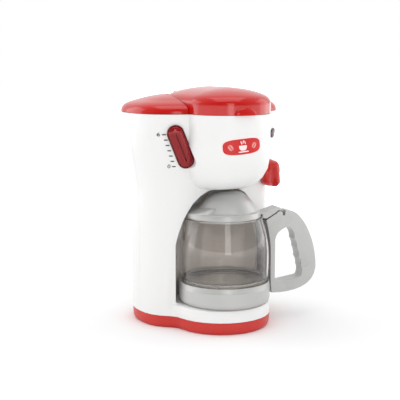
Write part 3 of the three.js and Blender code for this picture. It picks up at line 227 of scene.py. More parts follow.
@dataclass(frozen=True)
class Moulded(Finish):
    """Injection-moulded plastic: faint flow marks, a fine skin and small handling scuffs."""

    colour: str = "ffffff"
    shade: str = "eeeeee"
    roughness: float = 0.25
    scuffed: float = 0.36
    grain: float = 0.02
    coat: float = 0.0
    gloss: float = 0.5
    metallic: float = 0.0
    subsurface: float = 0.0

    def draw(self, graph: Graph) -> None:
        """Fill the plastic's node tree."""
        waves = graph.bump(graph.noise(38, 1), 0.0003, 0.06)
        graph.show(graph.principled({
            "Base Color": graph.tones(graph.noise(22, 2, (1.0, 1.0, 0.35)), self.colour, self.shade),
            "Roughness": graph.spread(graph.noise(140, 6, (1.0, 1.0, 0.6)), self.roughness, self.scuffed),
            "Normal": graph.bump(graph.noise(1500, 2), 0.00005, self.grain, waves),
            "Metallic": self.metallic,
            "Coat Weight": self.coat,
            "Coat Roughness": 0.06,
            "Specular IOR Level": self.gloss,
            "Subsurface Weight": self.subsurface,
            "Subsurface Scale": 0.002,
        }))


@dataclass(frozen=True)
class Clear(Finish):
    """Clear or tinted plastic that light passes through, also on its way from a lamp."""

    colour: str = "ffffff"
    roughness: float = 0.02
    see_through: float = 1.0
    lets_through: str = "f0eeec"

    def draw(self, graph: Graph) -> None:
        """Fill the clear plastic's node tree."""
        body = graph.principled({
            "Base Color": graph.tones(graph.noise(30, 2, (1.0, 1.0, 0.3)), self.colour, self.lets_through),
            "Transmission Weight": self.see_through,
            "IOR": 1.45,
            "Roughness": graph.spread(graph.noise(160, 4), self.roughness, self.roughness * 2.5),
            "Normal": graph.bump(graph.noise(45, 1), 0.0003, 0.06),
        })
        passing = graph.add("BsdfTransparent", {"Color": linear(self.lets_through)})
        graph.show(graph.add("MixShader", {0: graph.light_path("Is Shadow Ray"), 1: body,
                                                     2: passing.outputs[0]}).outputs[0])


@dataclass(frozen=True)
class Metal(Finish):
    """Plated steel with fine drawn lines."""

    colour: str = "b9bcc0"
    shade: str = "8d9094"
    roughness: float = 0.3

    def draw(self, graph: Graph) -> None:
        """Fill the metal's node tree."""
        lines = graph.noise(900, 3, (1.0, 1.0, 0.05))
        graph.show(graph.principled({
            "Metallic": 1.0,
            "Base Color": graph.tones(lines, self.colour, self.shade),
            "Roughness": graph.spread(lines, self.roughness, self.roughness + 0.15),
            "Normal": graph.bump(lines, 0.00005, 0.2),
        }))


@dataclass(frozen=True)
class Ink(Finish):
    """Pad-printed ink: a thin layer that is a little uneven where it thins out."""

    colour: str = "2a2326"
    worn: str = "3a3236"

    def draw(self, graph: Graph) -> None:
        """Fill the ink's node tree."""
        thin = graph.noise(1200, 4)
        graph.show(graph.principled({
            "Base Color": graph.tones(thin, self.colour, self.worn),
            "Roughness": graph.spread(thin, 0.32, 0.5),
            "Normal": graph.bump(thin, 0.00003, 0.15),
        }))


WHITE = Moulded("white_plastic", Slot.WHITE, "efefee", "ececeb", 0.3, 0.38, subsurface=0.05)
LINER = Moulded("niche_plastic", Slot.WHITE, "f2efed", "eeebe9", 0.36, 0.46)
RED = Moulded("red_plastic", Slot.RED, "c4120b", "be1009", 0.1, 0.18, coat=0.2, gloss=0.45)
BASE_RED = Moulded("base_red_plastic", Slot.RED, "cd2e26", "c72a22", 0.34, 0.44)
GREY = Moulded("silver_plastic", Slot.GREY, "c3c3c1", "bcbcba", 0.3, 0.4, grain=0.04, metallic=0.35)
SMOKE = Moulded("smoke_plastic", Slot.SMOKE, "5f595b", "565052", 0.18, 0.28, metallic=0.3)
BLACK = Moulded("black_plastic", Slot.BLACK, "262626", "1f1f1f", 0.42, 0.55, grain=0.06)
BOARD = Moulded("board_lacquer", Slot.BOARD, "2f7a45", "2a6e3d", 0.35, 0.5)
BATTERY = Moulded("battery_sleeve", Slot.BATTERY, "2b3550", "252e46", 0.25, 0.35)
CLEAR = Clear("jug_clear", Slot.CLEAR, "fbf9f7", lets_through="f6f3f0")
RUBY = Clear("gauge_ruby", Slot.RUBY, "c4101c", 0.03, 0.55, lets_through="b51420")
LAMP = Clear("lamp_smoke", Slot.SMOKE, "9b8688", 0.1, 0.5, lets_through="8a7476")
# The gauge rim's dark purple is painted shade: it stands in for the shadow in the recess round the lens.
RIM_PAINTED_SHADE = Moulded("gauge_rim_painted_shade", Slot.RUBY, "6d2430", "64202b", 0.15, 0.25, coat=0.4)
STEEL = Metal("plated_steel", Slot.STEEL)
PRINT = Ink("dark_print", Slot.WHITE)
RED_PRINT = Ink("red_print", Slot.WHITE, "d2191a", "c81618")
PALE_PRINT = Ink("pale_print", Slot.WHITE, "fbeceb", "f6e3e1")
PINK_PRINT = Ink("pink_print", Slot.WHITE, "ea9a94", "e38f89")


def data_of(name: str, mesh: Mesh) -> bpy.types.Mesh:
    """Turn a bmesh into mesh data and free it."""
    data = bpy.data.meshes.new(name)
    mesh.to_mesh(data)
    mesh.free()
    return data


def stand(name: str, data: bpy.types.ID) -> bpy.types.Object:
    """Put an object with the given data in the scene."""
    thing = bpy.data.objects.new(name, data)
    bpy.context.scene.collection.objects.link(thing)
    return thing


def object_of(name: str, mesh: Mesh, finish: Finish, body: Body, *nodes: str) -> None:
    """Make a finished piece from a bmesh and let it ride.

    Args:
        name: the piece's name.
        mesh: its shape in metres, in the machine's own frame. It is freed here.
        finish: what it is made of.
        body: the body that it moves with.
        nodes: the solids that it stands for.
    """
    piece = stand(name, data_of(name, mesh))
    piece.data.materials.append(finish.material())
    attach(piece, body.value)
    if nodes:
        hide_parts(*nodes)
    LOG.info("built %s", name)


def spun(mesh: Mesh, degrees: float) -> Mesh:
    """Turn a mesh about the Z axis and return it."""
    bmesh.ops.rotate(mesh, verts=mesh.verts, matrix=Matrix.Rotation(radians(degrees), 3, "Z"))
    return mesh


def moved(mesh: Mesh, matrix: Matrix) -> Mesh:
    """Move a mesh by a matrix and return it."""
    bmesh.ops.transform(mesh, matrix=matrix, verts=mesh.verts)
    return mesh


def sliced(mesh: Mesh, place: Point, normal: Point, clear: bool = False) -> Mesh:
    """Cut a mesh along a plane, and clear the side that the normal points to if asked."""
    bmesh.ops.bisect_plane(mesh, geom=[*mesh.verts, *mesh.edges, *mesh.faces], dist=CUT_REACH, plane_co=place,
                           plane_no=normal, clear_outer=clear)
    return mesh


def soften(mesh: Mesh, sharp: float) -> None:
    """Shade a mesh smooth, except over edges that turn more than the given angle.

    Args:
        mesh: the mesh to shade.
        sharp: the angle in degrees.
    """
    for face in mesh.faces:
        face.smooth = True
    for edge in mesh.edges:
        edge.smooth = edge.is_manifold and edge.calc_face_angle(pi) < radians(sharp)


def closed(mesh: Mesh, sharp: float = SHARP) -> Mesh:
    """Weld a new mesh, turn its faces outwards and shade it.

    Args:
        mesh: the mesh, in metres.
        sharp: the edge angle in degrees above which an edge stays crisp.
    Returns:
        The same mesh.
    """
    bmesh.ops.remove_doubles(mesh, verts=mesh.verts, dist=WELD_NEW)
    bmesh.ops.recalc_face_normals(mesh, faces=mesh.faces)
    soften(mesh, sharp)
    return mesh


def joined(*meshes: Mesh) -> Mesh:
    """Put several meshes into the first one, and free the rest."""
    first = meshes[0]
    for other in meshes[1:]:
        data = data_of("spare", other)
        first.from_mesh(data)
        bpy.data.meshes.remove(data)
    return first


class Loft:
    """A skin that grows ring by ring from a circle of vertices. Sizes are in millimetres."""

    def __init__(self, count: int) -> None:
        """Start with a circle of the given number of vertices."""
        self.mesh = bmesh.new()
        made = bmesh.ops.create_circle(self.mesh, cap_ends=False, segments=count, radius=1.0)
        self.turns = {vert: atan2(vert.co.y, vert.co.x) for vert in made["verts"]}
        self.edges = list(self.mesh.edges)
        self.rings = 0

    def grow(self) -> None:
        """Pull a new ring out of the last one."""
        made = bmesh.ops.extrude_edge_only(self.mesh, edges=self.edges)["geom"]
        fresh = {item for item in made if isinstance(item, bmesh.types.BMVert)}
        self.turns = {vert: next(self.turns[edge.other_vert(vert)] for edge in vert.link_edges
                                 if edge.other_vert(vert) in self.turns) for vert in fresh}
        self.edges = [item for item in made if isinstance(item, bmesh.types.BMEdge)
                      and item.verts[0] in fresh and item.verts[1] in fresh]

    def ring(self, place: Ring) -> "Loft":
        """Add a ring.

        Args:
            place: gives the point in millimetres for a turn about the ring in radians.
        Returns:
            The loft itself.
        """
        if self.rings:
            self.grow()
        for vert, turn in self.turns.items():
            vert.co = Vector(place(turn)) * MM
        self.rings += 1
        return self

    def sealed(self, sharp: float = SHARP) -> Mesh:
        """Close both ends and return the finished mesh."""
        bmesh.ops.edgeloop_fill(self.mesh, edges=self.edges)
        loose = [edge for edge in self.mesh.edges if edge.is_boundary]
        if loose:
            bmesh.ops.edgeloop_fill(self.mesh, edges=loose)
        return closed(self.mesh, sharp)


def polar(radius: float, turn: float, z: float) -> Point:
    """Return the point at a distance from the upright axis, in a direction and at a height."""
    return (radius * cos(turn), radius * sin(turn), z)


def round_ring(radius: float, z: float) -> Ring:
    """Return a level circle about the upright axis."""
    return lambda turn: polar(radius, turn, z)


def turned(rows: Sequence[Row], count: int = 96, sharp: float = SHARP,
           ring: Callable[[float, float], Ring] = round_ring) -> Mesh:
    """Turn a profile about the Z axis. One whose last row is its first closes on itself.

    Args:
        rows: radius and height of each ring, in millimetres.
        count: how many vertices are in a ring.
        sharp: the edge angle in degrees above which an edge stays crisp.
        ring: makes the ring of a radius and a height, if it isn't round.
    Returns:
        The closed mesh.
    """
    loft = Loft(count)
    for radius, z in rows:
        loft.ring(ring(max(radius, 0.02), z))
    return closed(loft.mesh, sharp) if rows[0] == rows[-1] else loft.sealed(sharp)


def tube_end(rows: Sequence[Row]) -> list[Row]:
    """Return a profile with its first row again at the end, for a ring that closes on itself."""
    return [*rows, rows[0]]


def smooth_rows(rows: Sequence[Sequence[float]], per: int) -> list[list[float]]:
    """Run a smooth curve through a table's rows.

    Args:
        rows: the rows that it passes through.
        per: how many steps it takes from one row to the next.
    Returns:
        The finer table.
    """
    fine = []
    for i in range(len(rows) - 1):
        four = rows[max(i - 1, 0)], rows[i], rows[i + 1], rows[min(i + 2, len(rows) - 1)]
        for k in range(per):
            t = k / per
            fine.append([0.5 * (2 * b + (c - a) * t + (2 * a - 5 * b + 4 * c - d) * t * t
                                + (3 * b - a - 3 * c + d) * t ** 3)
                         for a, b, c, d in zip(*four)])
    fine.append(list(rows[-1]))
    return fine


def signed_power(value: float, power: float) -> float:
    """Raise a value's size to a power and keep its sign."""
    return copysign(abs(value) ** power, value)


def oval(z: float, centre_y: float, half: float, front: float, rear: float, front_share: float = 1.0,
         rear_share: float = 1.0) -> Ring:
    """Return a level ring with its own reach to the front and the rear.

    Args:
        z: its height.
        centre_y: the Y of its widest place.
        half: half its width.
        front: its reach towards the front.
        rear: its reach towards the rear.
        front_share: 1 for a round front and less for a boxier one.
        rear_share: the same for the rear.
    Returns:
        A function from a turn to a point.
    """
    def place(turn: float) -> Point:
        """Return the ring's point at a turn."""
        ahead = sin(turn) < 0
        share = front_share if ahead else rear_share
        reach = front if ahead else rear
        return (half * signed_power(cos(turn), share),
                centre_y + reach * signed_power(sin(turn), share), z)
    return place


def bevelled(mesh: Mesh, edges: Sequence[bmesh.types.BMEdge], width: float, steps: int) -> None:
    """Round edges by a width in millimetres, in a number of steps."""
    bmesh.ops.bevel(mesh, geom=edges, offset=width * MM, offset_type="OFFSET", segments=steps, profile=0.5,
                    affect="EDGES", clamp_overlap=True, material=-1)


def brick(low: Point, high: Point, edge: float = 0.3) -> Mesh:
    """Return a block with bevelled edges between two corners, in millimetres."""
    mesh = bmesh.new()
    bmesh.ops.create_cube(mesh, size=1.0)
    size = Vector(high) - Vector(low)
    bmesh.ops.scale(mesh, vec=size * MM, verts=mesh.verts)
    bmesh.ops.translate(mesh, vec=(Vector(low) + size / 2) * MM, verts=mesh.verts)
    bevelled(mesh, mesh.edges, edge, 3)
    return closed(mesh)


def rod(radius: float, start: Point, end: Point, count: int = 40, edge: float = 0.2) -> Mesh:
    """Return a round bar between two points, with softened ends, in millimetres."""
    run = Vector(end) - Vector(start)
    mesh = turned([(0.0, 0.0), (radius - edge, 0.0), (radius, edge), (radius, run.length - edge),
                   (radius - edge, run.length), (0.0, run.length)], count)
    turn = run.to_track_quat("Z", "Y").to_matrix().to_4x4()
    return moved(mesh, Matrix.Translation(Vector(start) * MM) @ turn)


def carved(base: Mesh, *tools: Mesh) -> Mesh:
    """Cut closed meshes out of a closed mesh.

    Args:
        base: the mesh to start from. It is freed here.
        tools: the meshes to take away. They are freed too.
    Returns:
        What is left.
    """
    holders = [stand("spare", data_of("spare", mesh)) for mesh in (base, *tools)]
    for tool in holders[1:]:
        modifier = holders[0].modifiers.new("cut", "BOOLEAN")
        modifier.operation = "DIFFERENCE"
        modifier.solver = "EXACT"
        modifier.object = tool
    bpy.context.view_layer.update()
    graph = bpy.context.evaluated_depsgraph_get()
    result = bmesh.new()
    result.from_object(holders[0], graph)
    for holder in holders:
        data = holder.data
        bpy.data.objects.remove(holder)
        bpy.data.meshes.remove(data)
    bmesh.ops.remove_doubles(result, verts=result.verts, dist=WELD_CUT)
    soften(result, SHARP)
    return result


@dataclass
class Skin:
    """A finished copy of a solid whose shape is right, merged and smoothly shaded."""

    node: str
    finish: Finish
    body: Body = Body.MACHINE
    sharp: float = SHARP

    def build(self) -> None:
        """Copy the solid, merge its corners, shade it and stand it in its place."""
        object_of(f"{self.node}_skin", self.merged(), self.finish, self.body, self.node)

    def merged(self) -> Mesh:
        """Return the solid's mesh with its corners merged."""
        mesh = bmesh.new()
        mesh.from_mesh(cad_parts[self.node].data)
        bmesh.ops.remove_doubles(mesh, verts=mesh.verts, dist=WELD_SOLID)
        bmesh.ops.dissolve_degenerate(mesh, edges=mesh.edges, dist=WELD_NEW)
        soften(mesh, self.sharp)
        return mesh


@dataclass
class Dress:
    """The finish of solids that stay as they are, such as the works inside."""

    finish: Finish
    nodes: tuple[str, ...]

    def build(self) -> None:
        """Put the finish in each solid's material slot."""
        for name in self.nodes:
            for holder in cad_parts[name].material_slots:
                holder.material = self.finish.material()


@dataclass
class Housing:
    """The white housing's outline, for everything that sits on its front."""

    half_width: float = 62.0
    half_depth: float = 40.6
    centre_y: float = 42.4
    power: float = 2 / 0.769
    rim: float = 185.1
    flare_out: float = 8.4
    flare_from: float = 75.0
    flare_to: float = 7.0
    head_radius: float = 36.8
    head_y: float = -3.8

    def flare(self, z: float) -> float:
        """Return how far the column's wall leans out at a height."""
        return self.flare_out * ease((z - (self.rim - self.flare_from)) / (self.flare_from - self.flare_to))

    def face_y(self, x: float, z: float) -> float:
        """Return the Y of the column's front face."""
        wide, deep = self.half_width + self.flare(z), self.half_depth + self.flare(z)
        return self.centre_y - deep * (1 - abs(x / wide) ** self.power) ** (1 / self.power)

    def on_column(self, x: float, z: float, lift: float) -> Point:
        """Return a point that stands off the column's front by a small lift."""
        return (x, self.face_y(x, z) - lift, z)

    def on_head(self, arc: float, z: float, lift: float) -> Point:
        """Return a point on the head, at a distance along its round front from the middle."""
        turn = arc / self.head_radius
        reach = self.head_radius + lift
        return (reach * sin(turn), self.head_y - reach * cos(turn), z)

    def face_frame(self, x: float, z: float, turn: float = 0.0, swing: float = 0.0) -> Matrix:
        """Return the frame of a fitting on the front, in metres.

        Args:
            x: its place across the machine, in millimetres.
            z: its height.
            turn: its turn about the way out of the face, in degrees.
            swing: its turn about the way up the face, in degrees.
        Returns:
            A matrix whose Z points out of the face and whose Y points up it.
        """
        slope_x = (self.face_y(x + 1, z) - self.face_y(x - 1, z)) / 2
        slope_z = (self.face_y(x, z + 1) - self.face_y(x, z - 1)) / 2
        out = Vector((slope_x, -1.0, slope_z)).normalized()
        across = Vector((0.0, 0.0, 1.0)).cross(out).normalized()
        up = out.cross(across)
        basis = Matrix((across, up, out)).transposed().to_4x4()
        return (Matrix.Translation(Vector((x, self.face_y(x, z), z)) * MM) @ basis
                @ Matrix.Rotation(radians(swing), 4, "Y") @ Matrix.Rotation(radians(turn), 4, "Z"))

    def build(self) -> None:
        """Dress the white shells, the niche and the base."""
        for skin in (Skin("front_housing", WHITE), Skin("rear_cover", WHITE), Skin("niche_liner", LINER),
                     Skin("base_tray", BASE_RED), Skin("battery_door", BASE_RED)):
            skin.build()


@dataclass
class Marks:
    """Thin printed marks: flat shapes that are sliced, given a little body and laid on a curved face."""

    housing: Housing
    strip: float = 1.5
    depth: float = 0.12
    font_share: float = 1.4

    def lay(self, name: str, mesh: Mesh, ink: Ink, place: Callable[[float, float, float], Point],
            lift: float = 0.08) -> None:
        """Slice a flat shape, give it body and lay it on its face.

        Args:
            name: the piece's name.
            mesh: the flat shape in X and Y, in millimetres.
            ink: its finish.
            place: gives a point of the face for a place across, a height and a lift.
            lift: how far the ink stands off the face.
        """
        low = min(vert.co.x for vert in mesh.verts)
        high = max(vert.co.x for vert in mesh.verts)
        steps = int((high - low) / self.strip)
        for i in range(1, steps + 1):
            sliced(mesh, (low + i * (high - low) / (steps + 1), 0, 0), (1, 0, 0))
        made = bmesh.ops.extrude_face_region(mesh, geom=list(mesh.faces))["geom"]
        top = {item for item in made if isinstance(item, bmesh.types.BMVert)}
        for vert in mesh.verts:
            vert.co = Vector(place(vert.co.x, vert.co.y, lift if vert in top else -self.depth)) * MM
        object_of(name, closed(mesh, 40), ink, Body.MACHINE)

    def disc(self, half_x: float, half_y: float, centre: Row = (0.0, 0.0), share: float = 1.0,
             tilt: float = 0.0, count: int = 48) -> Mesh:
        """Return a flat oval, or with a share below 1 a boxier one, in millimetres."""
        mesh = bmesh.new()
        bmesh.ops.create_circle(mesh, cap_ends=True, segments=count, radius=1.0)
        for vert in mesh.verts:
            turn = atan2(vert.co.y, vert.co.x)
            vert.co = (half_x * signed_power(cos(turn), share), half_y * signed_power(sin(turn), share), 0)
        bmesh.ops.translate(spun(mesh, tilt), verts=mesh.verts, vec=(*centre, 0))
        return mesh

    def figure(self, text: str, height: float, centre: Row) -> Mesh:
        """Return a plain figure as a flat shape, in millimetres."""
        curve = bpy.data.curves.new("figure", "FONT")
        curve.body = text
        curve.size = height * self.font_share
        curve.align_x = "CENTER"
        curve.align_y = "CENTER"
        holder = stand("figure", curve)
        bpy.context.view_layer.update()
        data = bpy.data.meshes.new_from_object(holder.evaluated_get(bpy.context.evaluated_depsgraph_get()))
        mesh = bmesh.new()
        mesh.from_mesh(data)
        bpy.data.objects.remove(holder)
        bpy.data.curves.remove(curve)
        bpy.data.meshes.remove(data)
        bmesh.ops.translate(mesh, verts=mesh.verts, vec=(*centre, 0))
        return mesh


@dataclass
class LevelMarks(Marks):
    """The level marks beside the gauge, with a plain figure at each end."""

    top: Row = (-55.5, 168.4)
    bottom: Row = (-46.4, 141.3)
    count: int = 7
    half_width: float = 1.3
    half_height: float = 0.45
    share: float = 0.3
    figure_height: float = 3.2
    figure_away: float = 3.6

    def build(self) -> None:
        """Print the marks and the two figures."""
        for i in range(self.count):
            place = tuple(lerp(a, b, i / (self.count - 1)) for a, b in zip(self.top, self.bottom))
            mark = self.disc(self.half_width, self.half_height, place, self.share, count=24)
            self.lay(f"level_mark_{i + 1}", mark, PRINT, self.housing.on_column)
        for text, (x, z) in (("6", self.top), ("0", self.bottom)):
            figure = self.figure(text, self.figure_height, (x - self.figure_away, z))
            self.lay(f"level_figure_{text}", figure, PRINT, self.housing.on_column)


@dataclass
class SwitchMarks(Marks):
    """The 0 and the 1 over the knob."""

    height: float = 3.4
    places: tuple[Row, ...] = ((46.0, 148.2), (52.6, 149.0))

    def build(self) -> None:
        """Print both figures."""
        for i, place in enumerate(self.places):
            figure = self.figure(str(i), self.height, place)
            self.lay(f"switch_figure_{i}", figure, PRINT, self.housing.on_column)


@dataclass
class Emblem(Marks):
    """A plain red emblem on the head: a wide badge with a cup and two beans."""

    arc: float = -7.4
    height: float = 160.0
    half_x: float = 17.0
    half_y: float = 6.4
    tilt: float = 5.0
    share: float = 0.6
    edge: float = 0.9
    edge_lift: float = 0.04
    ground_lift: float = 0.09
    lift: float = 0.14
    bowl_half: Row = (3.4, 4.4)
    bowl_place: Row = (0.0, 1.2)
    bowl_top: float = 1.0
    bowl_share: float = 0.7
    saucer_half: Row = (4.6, 0.5)
    saucer_place: Row = (0.4, -4.2)
    handle_half: Row = (1.5, 1.4)
    handle_place: Row = (4.0, -0.6)
    handle_line: float = 0.55
    wisp_half: Row = (0.42, 1.5)
    wisp_share: float = 0.8
    wisps: tuple[Point, ...] = ((-1.3, 3.3, 14), (0.4, 3.8, -14), (2.0, 3.3, 14))
    bean_half: Row = (1.9, 2.7)
    bean_share: float = 0.9
    bean_gap: float = 0.3
    bean_lean: float = 35.0
    bean_place: float = 10.4

    def spot(self, x: float, y: float, lift: float) -> Point:
        """Return the place on the head of a point of the flat emblem."""
        turn = radians(self.tilt)
        return self.housing.on_head(self.arc + x * cos(turn) - y * sin(turn),
                                    self.height + x * sin(turn) + y * cos(turn), lift)

    def cup(self) -> Mesh:
        """Return the cup: a bowl, a saucer, a handle and three wisps of steam."""
        bowl = self.disc(*self.bowl_half, self.bowl_place, self.bowl_share)
        sliced(bowl, (0, self.bowl_top, 0), (0, 1, 0), clear=True)
        handle = self.disc(*self.handle_half, self.handle_place, count=24)
        bmesh.ops.inset_region(handle, faces=list(handle.faces), thickness=self.handle_line)
        inside = max(handle.faces, key=lambda face: len(face.verts))
        bmesh.ops.delete(handle, geom=[inside], context="FACES_ONLY")
        saucer = self.disc(*self.saucer_half, self.saucer_place, self.share, count=24)
        wisps = [self.disc(*self.wisp_half, (x, y), self.wisp_share, tilt, 16) for x, y, tilt in self.wisps]
        return joined(bowl, saucer, handle, *wisps)

    def bean(self, side: int) -> Mesh:
        """Return one coffee bean, in two halves."""
        halves = [sliced(self.disc(*self.bean_half, share=self.bean_share, count=32),
                         (self.bean_gap * part, 0, 0), (-part, 0, 0), clear=True) for part in (-1, 1)]
        bean = spun(joined(*halves), -self.bean_lean * side)
        return moved(bean, Matrix.Translation((self.bean_place * side, 0, 0)))

    def build(self) -> None:
        """Print the emblem in three layers."""
        outline = self.disc(self.half_x + self.edge, self.half_y + self.edge, share=self.share)
        self.lay("emblem_edge", outline, PALE_PRINT, self.spot, self.edge_lift)
        ground = self.disc(self.half_x, self.half_y, share=self.share)
        self.lay("emblem_ground", ground, RED_PRINT, self.spot, self.ground_lift)
        self.lay("emblem_cup", self.cup(), PALE_PRINT, self.spot, self.lift)
        for name, side in (("left", -1), ("right", 1)):
            self.lay(f"emblem_bean_{name}", self.bean(side), PINK_PRINT, self.spot, self.lift)


@dataclass
class Fitting:
    """A lens in a thin rim that stands on the housing's front."""

    housing: Housing

    def fit(self, matrix: Matrix, lens: tuple[str, Mesh, Finish, str], rim: tuple[str, Mesh, Finish]) -> None:
        """Stand the lens and its rim on the front.

        Args:
            matrix: the fitting's frame.
            lens: the lens's name, shape and finish, and the solid that it stands for.
            rim: the rim's name, shape and finish.
        """
        for name, mesh, finish, *nodes in (lens, rim):
            object_of(name, moved(mesh, matrix), finish, Body.MACHINE, *nodes)


@dataclass
class Gauge(Fitting):
    """The level gauge: a domed ruby lens in a thin rim whose dark purple is painted shade of the recess round
    the lens.
    """

    x: float = -42.6
    z: float = 158.1
    tilt: float = 22.0
    half_width: float = 6.5
    half_length: float = 18.75
    bulge: float = 2.9
    foot: float = -6.0
    wall: float = 1.5
    side_step: float = 9.0
    dome_steps: int = 13
    dome_turns: Row = (5.0, 83.0)
    dome_powers: Row = (0.8, 0.9)
    rim_rows: tuple[Row, ...] = ((6.62, -1.0), (6.62, 0.5), (6.95, 0.85), (7.35, 0.6), (7.4, -1.0))

    def capsule(self, radius: float, height: float) -> Ring:
        """Return a ring with two straight sides, about the gauge's own axis."""
        straight = self.half_length - self.half_width

        def place(turn: float) -> Point:
            """Return the ring's point at a turn."""
            y = radius * sin(turn)
            return (radius * cos(turn), y + copysign(straight, y) * min(1.0, abs(sin(turn)) * self.side_step),
                    height)
        return place

    def dome(self, radius: float, top: float) -> list[Row]:
        """Return the lens's cross section from its edge to its middle."""
        (start, span), (across, up) = self.dome_turns, self.dome_powers
        return [(radius * cos(turn) ** across, top * sin(turn) ** up)
                for turn in (radians(start + span * i / self.dome_steps) for i in range(self.dome_steps + 1))]

    def build(self) -> None:
        """Build the lens and its rim."""
        matrix = self.housing.face_frame(self.x, self.z, self.tilt)
        half = self.half_width
        outer = [(half, self.foot), (half, 0.0), *self.dome(half, self.bulge)]
        inner = [(max(r - self.wall, 0.3), z - self.wall * 0.9) for r, z in reversed(outer[1:])]
        rows = tube_end([*outer, *inner, (half - self.wall, self.foot)])
        lens, rim = (turned(profile, 72, 50, self.capsule) for profile in (rows, tube_end(self.rim_rows)))
        # The rim's dark colour is painted shade of the recess round the lens.
        self.fit(matrix, ("gauge_lens_shell", lens, RUBY, "gauge_lens"), ("gauge_rim_painted_shade", rim, RIM_PAINTED_SHADE))


@dataclass
class Lamp(Fitting):
    """The signal lamp: its lens and the thin ring round it."""

    x: float = 53.0
    z: float = 165.6
    lens_rows: tuple[Row, ...] = ((2.4, -10.9), (5.0, -10.9), (5.0, -4.95), (3.6, -4.95), (3.6, 0.3),
                                  (3.4, 0.75), (2.9, 1.15), (2.0, 1.42), (0.9, 1.5), (0.0, 1.5), (0.0, 0.2),
                                  (2.2, -0.6), (2.4, -1.2))
    ring_rows: tuple[Row, ...] = ((3.66, -0.9), (3.66, 0.5), (3.95, 0.75), (4.3, 0.5), (4.35, -0.9))

    def build(self) -> None:
        """Build the lens and the ring."""
        lens, ring = (turned(tube_end(rows), 56, 50) for rows in (self.lens_rows, self.ring_rows))
        self.fit(self.housing.face_frame(self.x, self.z), ("lamp_lens", lens, LAMP, "indicator_lens"),
                 ("lamp_ring", ring, SMOKE))


@dataclass
class Knob:
    """The turning knob: a domed disc whose grip grows out of it in a soft ridge."""

    housing: Housing
    x: float = 49.5
    z: float = 130.7
    swing: float = -10.0
    rest: float = 24.0
    radius: float = 11.8
    foot: float = 1.4
    body_height: float = 8.8
    height: float = 12.7
    crown: float = 0.9
    edge: float = 3.4
    edge_rest: float = 0.4
    foot_edge: float = 0.5
    side: float = 3.0
    steps: int = 30
    grip_half: float = 1.5
    grip_spread: float = 4.6
    grip_corner: float = 4.5
    grip_drop: float = 0.8
    bore: float = 3.2
    bore_top: float = 7.7

    def disc_height(self, radius: float) -> float:
        """Return the disc's height at a distance from its middle."""
        past = max(0.0, radius - (self.radius - self.edge)) / self.edge
        crown = self.body_height - self.crown * (radius / self.radius) ** 2
        return crown - (self.edge - self.edge_rest) * (1 - sqrt(max(0.0, 1 - past * past)))

    def grip_height(self, along: float) -> float:
        """Return the ridge's height at a place along it."""
        past = max(0.0, abs(along) - (self.radius - self.grip_corner)) / self.grip_corner
        return self.height - self.grip_corner * self.grip_drop * (1 - sqrt(max(0.0, 1 - min(1.0, past) ** 2)))

    def top_ring(self, radius: float) -> Ring:
        """Return a ring over the disc and its ridge."""
        axis = radians(90 + self.rest)

        def place(turn: float) -> Point:
            """Return the ring's point at a turn."""
            along = radius * cos(turn - axis)
            beside = abs(radius * sin(turn - axis))
            flat = self.disc_height(radius)
            lift = 1 - ease((beside - self.grip_half) / (self.grip_spread - self.grip_half))
            height = flat + max(0.0, self.grip_height(along) - flat) * lift
            return polar(radius, turn, self.foot + height)
        return place

    def build(self) -> None:
        """Build the knob and stand it on its shaft."""
        loft = Loft(FINEST)
        rows = ((self.bore, self.bore_top), (self.bore, self.foot), (self.radius - self.foot_edge, self.foot),
                (self.radius, self.foot + self.foot_edge), (self.radius, self.foot + self.side))
        for radius, z in rows:
            loft.ring(round_ring(radius, z))
        for i in range(self.steps + 1):
            share = i / self.steps
            loft.ring(self.top_ring(max(self.radius * cos(share * pi / 2) ** 0.8, 0.1)))
        mesh = moved(loft.sealed(60), self.housing.face_frame(self.x, self.z, 0.0, self.swing))
        object_of("switch_knob_shell", mesh, RED, Body.KNOB, "switch_knob")


